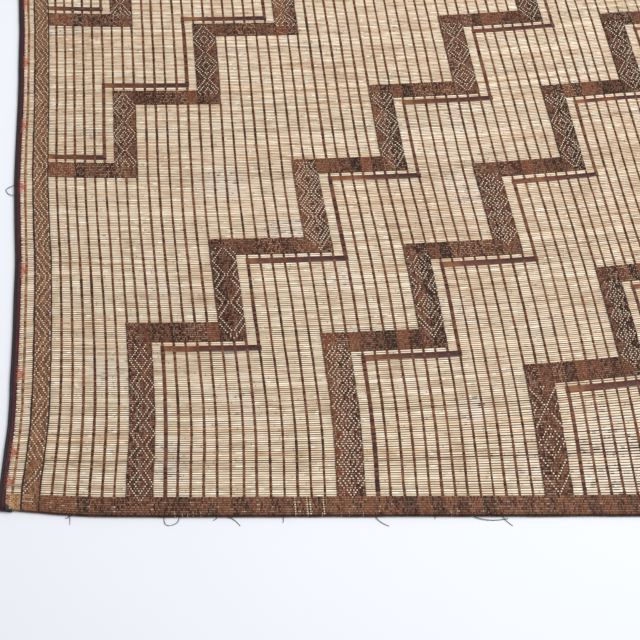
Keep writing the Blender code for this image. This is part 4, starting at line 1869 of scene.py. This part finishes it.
@dataclass
class CornerWrap:
    """The end of the binding, folded round one corner and tapered along the edge."""

    grid: MatGrid
    side: Side
    end: End
    inner: float = -0.0375
    overrun: float = 0.0035
    depth: float = 0.0110
    tip_depth: float = 0.0040
    height: float = 0.0072
    tip_height: float = 0.0056
    bevel: float = 0.0012
    cuts: int = 3
    crease: float = 0.00025
    creases_across: float = 1900.0
    creases_along: float = 700.0
    lowest: float = 0.0002
    smooth_below: float = 50.0

    def build(self) -> Piece:
        """Models a block by hand, tapers and rounds it, then lays it.

        Returns:
            The piece.
        """
        grid = self.grid
        length = self.inner + grid.reed_end
        middle = (self.inner - grid.reed_end) / 2
        bpy.ops.object.select_all(action="DESELECT")
        bpy.ops.mesh.primitive_cube_add(size=1.0)
        piece = bpy.context.object
        piece.name = f"folded_corner_{self.end.value}_{self.side.value}"
        piece.data.name = piece.name
        bpy.ops.object.mode_set(mode="EDIT")
        bpy.ops.mesh.select_all(action="SELECT")
        bpy.ops.transform.resize(value=(length, self.depth + self.overrun, self.height))
        bpy.ops.transform.translate(value=(middle, (self.depth - self.overrun) / 2, self.height / 2))
        bpy.ops.mesh.bevel(offset=self.bevel, segments=2)
        bpy.ops.mesh.select_all(action="SELECT")
        bpy.ops.mesh.subdivide(number_cuts=self.cuts)
        bpy.ops.object.mode_set(mode="OBJECT")
        count = len(piece.data.vertices)
        points = np.empty(count * 3)
        piece.data.vertices.foreach_get("co", points)
        across, along, height = points.reshape(-1, 3).T
        share = np.clip((across + grid.reed_end) / length, 0.0, 1.0)
        deep = self.depth + (self.tip_depth - self.depth) * share
        tall = self.height + (self.tip_height - self.height) * share
        along = -self.overrun + (along + self.overrun) / (self.depth + self.overrun) * (deep + self.overrun)
        crease = self.crease * np.sin(across * self.creases_across) * np.sin(along * self.creases_along)
        height = height * tall / self.height + crease * (height > self.height / 2)
        height = np.maximum(height, self.lowest)
        if self.side is Side.RIGHT:
            across = grid.width - across
        if self.end is End.BACK:
            along = grid.length - along
        piece.data.vertices.foreach_set("co", grid.lay(across, along, height).reshape(-1))
        face_outwards(piece)
        bpy.ops.object.shade_smooth_by_angle(angle=math.radians(self.smooth_below))
        return piece


@dataclass
class EdgeCord:
    """Thin twisted cord that finishes one end."""

    grid: MatGrid
    end: End
    start: float = -0.0297
    centre: float = -0.0005
    radius: float = 0.0006
    height: float = 0.0018
    sections: int = 330
    sides: int = 8
    knots: int = 60
    sway: float = 0.0004
    lump: float = 0.16
    seed: int = 61

    def build(self) -> Piece:
        """Makes the cord.

        Returns:
            The piece.
        """
        rng = np.random.default_rng(self.seed)
        across = np.linspace(self.start, self.grid.width - self.start, self.sections)
        along = self.centre + wander(rng, 1, self.sections, self.knots)[0] * self.sway
        if self.end is End.BACK:
            along = self.grid.length - along
        lumps = 1 + self.lump * np.cos(np.arange(self.sections) * math.pi)
        fabric = Fabric()
        route = np.stack((across, along, np.full(self.sections, self.height)), axis=-1)
        add_strand(fabric, self.grid, route, self.radius * lumps, self.sides)
        return fabric.make(f"twisted_edge_{self.end.value}", closed=True)


@dataclass(frozen=True)
class Thread:
    """A loose thread end: where it leaves the front edge, bends and ends, with distances out."""

    root: float
    bend: float
    bend_out: float
    tip: float
    tip_out: float


@dataclass
class LooseThreads:
    """Thread ends that lie loose on the floor along the front edge and at the left side."""

    grid: MatGrid
    root_out: float = 0.0010
    root_height: float = 0.002
    radius: float = 0.0006
    tip_share: float = 0.7
    samples: int = 14
    loop_in: float = 0.0080
    loop_bend: float = 0.012
    loop_turn: float = 0.004
    loop_height: float = 0.004
    loop_low: float = 0.666
    loop_high: float = 0.690
    loop_tip: float = 0.682
    loop_out: float = 0.0175
    fray_in: float = 0.0045
    fray_out: float = 0.0012
    fray_height: float = 0.0068
    fray_radius: float = 0.0005
    fray_tip_share: float = 0.5
    fray_lean: float = 0.0008
    fray_shares: Pair = (0.6, 1.1)
    fray_sides: int = 4
    seed: int = 71
    frays: Marks = (
        0.215, 0.226, 0.234, 0.243, 0.254, 0.394, 0.412, 0.433, 0.461, 0.473, 0.494, 0.629, 0.687,
    )
    threads: tuple[Thread, ...] = (
        Thread(0.050, 0.051, 0.008, 0.050, 0.017),
        Thread(0.049, 0.048, 0.005, 0.043, 0.006),
        Thread(0.198, 0.196, 0.016, 0.206, 0.015),
        Thread(0.221, 0.220, 0.012, 0.207, 0.0145),
        Thread(0.277, 0.279, 0.002, 0.272, 0.006),
        Thread(0.293, 0.303, 0.002, 0.311, 0.016),
        Thread(0.375, 0.376, 0.006, 0.374, 0.011),
        Thread(0.512, 0.518, 0.012, 0.531, 0.017),
        Thread(0.603, 0.604, 0.003, 0.602, 0.005),
        Thread(0.663, 0.684, 0.011, 0.716, 0.004),
        Thread(0.708, 0.712, 0.009, 0.721, 0.017),
    )

    def curve(self, *corners: Triple) -> Array:
        """A curve from the first of three places towards the second and to the third.

        Args:
            *corners: The three places.

        Returns:
            Places on the curve, one row each.
        """
        first, second, third = (np.array(corner) for corner in corners)
        share = np.linspace(0.0, 1.0, self.samples)[:, None]
        return (1 - share) ** 2 * first + 2 * share * (1 - share) * second + share**2 * third

    def build(self) -> Piece:
        """Makes the dark threads.

        Returns:
            The piece.
        """
        fabric = Fabric()
        thin = np.linspace(1.0, self.tip_share, self.samples) * self.radius
        for thread in self.threads:
            route = self.curve((thread.root, -self.root_out, self.root_height),
                               (thread.bend, -thread.bend_out, self.radius),
                               (thread.tip, -thread.tip_out, self.radius))
            add_strand(fabric, self.grid, route, thin)
        hold = -self.grid.reed_end - self.loop_in
        out = hold - self.loop_out
        tip = (out, self.loop_tip, self.radius)
        upper = self.curve((hold, self.loop_high, self.loop_height),
                           (hold - self.loop_bend, self.loop_high, self.radius), tip)
        lower = self.curve(tip, (out + self.loop_turn, self.loop_low, self.radius),
                           (hold, self.loop_low, self.loop_height))
        for route in (upper, lower):
            add_strand(fabric, self.grid, route, np.full(self.samples, self.radius))
        return fabric.make("loose_threads", closed=True)

    def frayed(self) -> Piece:
        """Makes the short pale fibres that pass over the front and back edges.

        Returns:
            The piece.
        """
        rng = np.random.default_rng(self.seed)
        fabric = Fabric()
        thin = np.linspace(1.0, self.fray_tip_share, self.samples) * self.fray_radius
        for across in self.frays:
            for back in (False, True):
                lean = rng.uniform(-self.fray_lean, self.fray_lean)
                start = self.fray_in * rng.uniform(*self.fray_shares)
                route = self.curve((across + lean, start, self.fray_height - self.fray_radius),
                                   (across, -self.fray_out / 2, self.fray_height),
                                   (across, -self.fray_out, self.fray_radius))
                if back:
                    route = route * (-1.0, -1.0, 1.0) + (self.grid.width, self.grid.length, 0.0)
                add_strand(fabric, self.grid, route, thin, self.fray_sides)
        return fabric.make("frayed_fibres", closed=True)


@dataclass
class Underside:
    """Thongs that pass under the reeds, and the strands' undersides below the bands."""

    grid: MatGrid
    layout: Layout
    height: float = 0.0006
    half_width: float = 0.0019
    rows_in_face: int = 10
    columns_in_face: int = 2

    def rectangle(self, fabric: Fabric, across: Array, rows: Pair) -> None:
        """Adds a sheet that faces down, of a few faces.

        Args:
            fabric: What it is added to.
            across: Distances across of its columns.
            rows: First and last row.
        """
        count = max(round((rows[1] - rows[0]) / self.rows_in_face), 1) + 1
        along = np.linspace(rows[0], rows[1], count)[:, None]
        across = across[::-1][None, :]
        places = self.grid.lay(across, along * self.grid.reed_pitch, self.height)
        lie = np.stack(np.broadcast_arrays(across / self.grid.strand_pitch, along), axis=-1)
        fabric.add_grid(places, lie)

    def build(self) -> Piece:
        """Makes the underside.

        Returns:
            The piece.
        """
        fabric = Fabric()
        grid = self.grid
        hidden = self.layout.covered()
        for column in range(1, grid.columns):
            line = column * grid.thong_pitch + np.array((-self.half_width, self.half_width))
            for rows in open_runs(hidden[column]):
                self.rectangle(fabric, line, rows)
        for stair in self.layout.stairs:
            for back in (False, True):
                for left, right, low, high in self.layout.blocks(stair, back):
                    count = (right - left) // self.columns_in_face + 1
                    across = np.linspace(left, right, count) * grid.thong_pitch
                    self.rectangle(fabric, across, (low, high))
        for low in (0, grid.rows - grid.end_rows):
            across = np.linspace(0.0, grid.width, grid.columns // self.columns_in_face + 1)
            self.rectangle(fabric, across, (low, low + grid.end_rows))
        for start in (-grid.guard_outer, grid.width):
            self.rectangle(fabric, np.array([start, start + grid.guard_outer]), (0, grid.rows))
        return fabric.make("underside_leather")


@dataclass
class Studio:
    """Pale floor, soft light and the camera at the photograph's angle."""

    grid: MatGrid
    focal: float = 90.0
    sensor: float = 36.0
    pitch_down: float = 51.106
    heading: float = 7.914
    roll: float = -2.414
    place: Triple = (0.23893, -1.31078, 2.06967)
    farthest: float = 50.0
    floor_size: float = 12.0
    floor_drop: float = 0.0002
    sky: Triple = (0.95, 0.97, 1.0)
    sky_strength: float = 0.59
    lamp_energy: float = 94.0
    lamp_size: float = 2.2
    lamp_place: Triple = (0.8, -0.3, 3.1)

    def camera(self) -> None:
        """Makes the camera and turns it as it was held."""
        theta, psi, roll = (math.radians(angle) for angle in (self.pitch_down, self.heading, self.roll))
        right = Vector((math.cos(psi), -math.sin(psi), 0.0))
        ahead = Vector((math.cos(theta) * math.sin(psi), math.cos(theta) * math.cos(psi), -math.sin(theta)))
        up = Vector((math.sin(theta) * math.sin(psi), math.sin(theta) * math.cos(psi), math.cos(theta)))
        image_right = math.cos(roll) * right - math.sin(roll) * up
        image_up = math.sin(roll) * right + math.cos(roll) * up
        turn = Matrix((image_right, image_up, -ahead)).transposed().to_4x4()
        data = bpy.data.cameras.new("camera")
        data.lens = self.focal
        data.sensor_width = self.sensor
        data.clip_end = self.farthest
        camera = bpy.data.objects.new("camera", data)
        bpy.context.scene.collection.objects.link(camera)
        camera.matrix_world = Matrix.Translation(Vector(self.place) + self.grid.offset) @ turn
        bpy.context.scene.camera = camera

    def floor(self) -> None:
        """Makes the floor."""
        bpy.ops.mesh.primitive_plane_add(size=self.floor_size, location=(0.0, 0.0, -self.floor_drop))
        floor = bpy.context.object
        floor.name = "floor"
        bpy.ops.object.transform_apply(location=True, rotation=True, scale=True)
        floor.data.materials.append(FloorFinish().make())

    def lights(self) -> None:
        """Makes a soft sky and one broad lamp, and keeps the colours as they are."""
        bpy.context.scene.view_settings.view_transform = "Standard"
        world = bpy.data.worlds.new("soft_sky")
        world.use_nodes = True
        sky = world.node_tree.nodes["Background"]
        sky.inputs["Color"].default_value = (*self.sky, 1.0)
        sky.inputs["Strength"].default_value = self.sky_strength
        bpy.context.scene.world = world
        lamp = bpy.data.lights.new("broad_lamp", "AREA")
        lamp.shape = "SQUARE"
        lamp.size = self.lamp_size
        lamp.energy = self.lamp_energy
        holder = bpy.data.objects.new("broad_lamp", lamp)
        bpy.context.scene.collection.objects.link(holder)
        holder.location = self.lamp_place
        holder.rotation_euler = (-Vector(self.lamp_place)).to_track_quat("-Z", "Y").to_euler()


WOVEN = LeatherFinish(
    "woven_leather", (0.026, 0.011, 0.007), (0.090, 0.034, 0.020), (0.22, 0.090, 0.050),
    night=(0.018, 0.012, 0.012), night_share=0.4, rust=(0.22, 0.074, 0.034), rust_share=0.3,
    block_share=0.42, block_tint=0.5, fleck_share=0.9, valley_shade_share=0.45, stretch=(50.0, 20.0, 0.0))
END = LeatherFinish(
    "end_leather", (0.032, 0.013, 0.008), (0.135, 0.052, 0.027), (0.29, 0.12, 0.062),
    night_share=0.45, rust=(0.19, 0.068, 0.030), crest_highlight_share=0.15, block_share=0.3,
    block_tint=0.25, fleck_share=0.45, valley_shade_share=0.5, stretch=(48.0, 14.0, 0.0))
GUARD = LeatherFinish(
    "guard_leather", (0.110, 0.047, 0.023), (0.25, 0.110, 0.055), (0.40, 0.200, 0.105),
    night=(0.024, 0.018, 0.018), night_share=0.3, rust=(0.30, 0.12, 0.05), valley_shade_share=0.35,
    fleck_share=0.45)
THONG = LeatherFinish(
    "thong_leather", (0.052, 0.019, 0.011), (0.130, 0.050, 0.025), (0.21, 0.092, 0.046),
    night=(0.026, 0.013, 0.010), rust=(0.21, 0.092, 0.042), rust_share=0.4, stretch=(9.0, 14.0, 0.0))
OUTER = LeatherFinish(
    "outer_leather", (0.11, 0.048, 0.022), (0.24, 0.115, 0.056), (0.36, 0.195, 0.105), night_share=0.1)
LINE = LeatherFinish(
    "line_leather", (0.040, 0.015, 0.011), (0.115, 0.044, 0.026), (0.19, 0.078, 0.042),
    night=(0.035, 0.016, 0.022), rust=(0.20, 0.070, 0.032))
OCHRE = LeatherFinish(
    "ochre_leather", (0.22, 0.105, 0.048), (0.37, 0.20, 0.092), (0.50, 0.30, 0.15),
    night=(0.13, 0.05, 0.022), rust=(0.34, 0.14, 0.05), rust_share=0.6)
BLACK = PlainFinish("black_leather", (0.012, 0.012, 0.012), (0.045, 0.036, 0.036))
RED = PlainFinish("red_lace", (0.27, 0.018, 0.034), (0.12, 0.012, 0.022), bump_depth=0.0001)
KNOT = PlainFinish("red_knot", (0.52, 0.060, 0.045), (0.40, 0.040, 0.035), bump_depth=0.0001)
SALMON = PlainFinish(
    "salmon_thread", (0.62, 0.22, 0.15), (0.58, 0.11, 0.085), (90.0, 500.0, 90.0), bump_depth=0.0001)
CORD = PlainFinish("dark_cord", (0.130, 0.055, 0.033), (0.070, 0.030, 0.020), (500.0, 90.0, 500.0))
THREAD = PlainFinish("dark_thread", (0.022, 0.025, 0.028), (0.060, 0.066, 0.072), bump_depth=0.0001)
FRAYED = PlainFinish("frayed_fibre", (0.80, 0.64, 0.48), (0.50, 0.34, 0.24), bump_depth=0.0001)
BINDING = BindingFinish(
    "binding_leather", (0.021, 0.014, 0.013), (0.082, 0.042, 0.040), (300.0, 60.0, 300.0),
    (0.52, 0.72, 0.5), (0.0, 0.5, 0.40, 0.62), grain_scale=800.0, crease_depth=1.6,
    bump_depth=0.0004, bump_strength=0.7)
RUST_TO_PURPLE = (
    (0.00, (0.24, 0.090, 0.040)), (0.25, (0.135, 0.042, 0.022)),
    (0.60, (0.078, 0.024, 0.018)), (1.00, (0.045, 0.016, 0.018)))
STRIP = StripFinish(
    "strip_leather", RUST_TO_PURPLE, (0.22, 0.13, 0.09), (160.0, 500.0, 0.0),
    (0.55, 0.70, 0.5), (0.0, 0.5, 0.42, 0.6), specular=0.16, grain_scale=1200.0)


@dataclass
class Rug:
    """The whole mat: builds and dresses its pieces in order, and keeps them."""

    grid: MatGrid
    layout: Layout
    pieces: list[Piece] = field(default_factory=list)

    def dress(self, piece: Piece, material: Material, slot: str, *nodes: str) -> None:
        """Gives a piece its finish and its body, and hides the CAD nodes that it stands for.

        Args:
            piece: The finished piece.
            material: Its material.
            slot: Not used.
            *nodes: CAD nodes that the piece replaces.
        """
        piece.data.materials.clear()
        piece.data.materials.append(material)
        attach(piece, ROOT)
        if nodes:
            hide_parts(*nodes)
        self.pieces.append(piece)
        LOG.info("%s: %d faces", piece.name, len(piece.data.polygons))

    def reeds_and_thongs(self) -> None:
        """Builds the reeds, the thongs, the step lines and the underside."""
        grid = self.grid
        self.dress(ReedMat(grid).build(), ReedFinish().make(), "reed", "reed_field")
        leather = THONG.make()
        thongs = Thongs(grid, self.layout)
        third = grid.columns // 3
        for name, columns in (("thongs_left", range(1, third)), ("thongs_middle", range(third, 2 * third)),
                              ("thongs_right", range(2 * third, grid.columns))):
            self.dress(thongs.build(name, columns), leather, "woven_leather")
        outer = OUTER.make()
        for side in Side:
            self.dress(thongs.outer(side), outer, "woven_leather")
        lines = StepLines(grid, self.layout, thongs)
        numbers = range(1, len(self.layout.stairs) + 1)
        nodes = [f"step_line_{end.value}_{number}" for end in End for number in numbers]
        self.dress(lines.uprights(), LINE.make(), "dark_leather", *nodes)
        self.dress(lines.strips(), STRIP.make(), "dark_leather")
        self.dress(Underside(grid, self.layout).build(), leather, "woven_leather")

    def bands(self) -> None:
        """Builds the woven bands and the corner patches."""
        grid = self.grid
        weaving = Weaving(grid, self.layout)
        woven, ends, guards, ochre = (finish.make() for finish in (WOVEN, END, GUARD, OCHRE))
        for end in End:
            for number in range(len(self.layout.stairs)):
                piece = weaving.stair(number, end is End.BACK)
                self.dress(piece, woven, "woven_leather", f"stair_band_{end.value}_{number + 1}")
            self.dress(weaving.end_band(end), ends, "woven_leather", f"end_band_{end.value}")
        for side in Side:
            piece = GuardBand(grid, weaving, side).build()
            self.dress(piece, guards, "woven_leather", f"guard_band_{side.value}")
            for end in End:
                piece = CornerPatch(grid, weaving, side, end).build()
                self.dress(piece, ochre, "ochre_leather", f"corner_patch_{end.value}_{side.value}")

    def edges(self) -> None:
        """Builds the bindings, the lacing, the corners, the cords and the loose ends."""
        grid = self.grid
        binding, black, red, knot, salmon, cord = (
            finish.make() for finish in (BINDING, BLACK, RED, KNOT, SALMON, CORD))
        for side in Side:
            self.dress(Binding(grid, side).build(), binding, "black_leather", f"binding_{side.value}")
            lacing = Lacing(grid, side)
            self.dress(lacing.stitches(), red, "red_leather", f"lacing_{side.value}")
            fans, knots = lacing.lashings()
            self.dress(fans, salmon, "red_leather")
            self.dress(knots, knot, "red_leather")
            for end in End:
                piece = CornerWrap(grid, side, end).build()
                self.dress(piece, black, "black_leather", f"corner_wrap_{end.value}_{side.value}")
        for end in End:
            self.dress(EdgeCord(grid, end).build(), cord, "edge_cord", f"edge_cord_{end.value}")
        loose = LooseThreads(grid)
        self.dress(loose.build(), THREAD.make(), "edge_cord")
        self.dress(loose.frayed(), FRAYED.make(), "edge_cord")


def main() -> None:
    """Builds the mat piece by piece, and reports each."""
    logging.basicConfig(level=logging.INFO, format="%(message)s")
    grid = MatGrid()
    studio = Studio(grid)
    studio.camera()
    studio.floor()
    studio.lights()
    rug = Rug(grid, Layout(grid))
    rug.reeds_and_thongs()
    rug.bands()
    rug.edges()


if __name__ == "__main__":
    main()
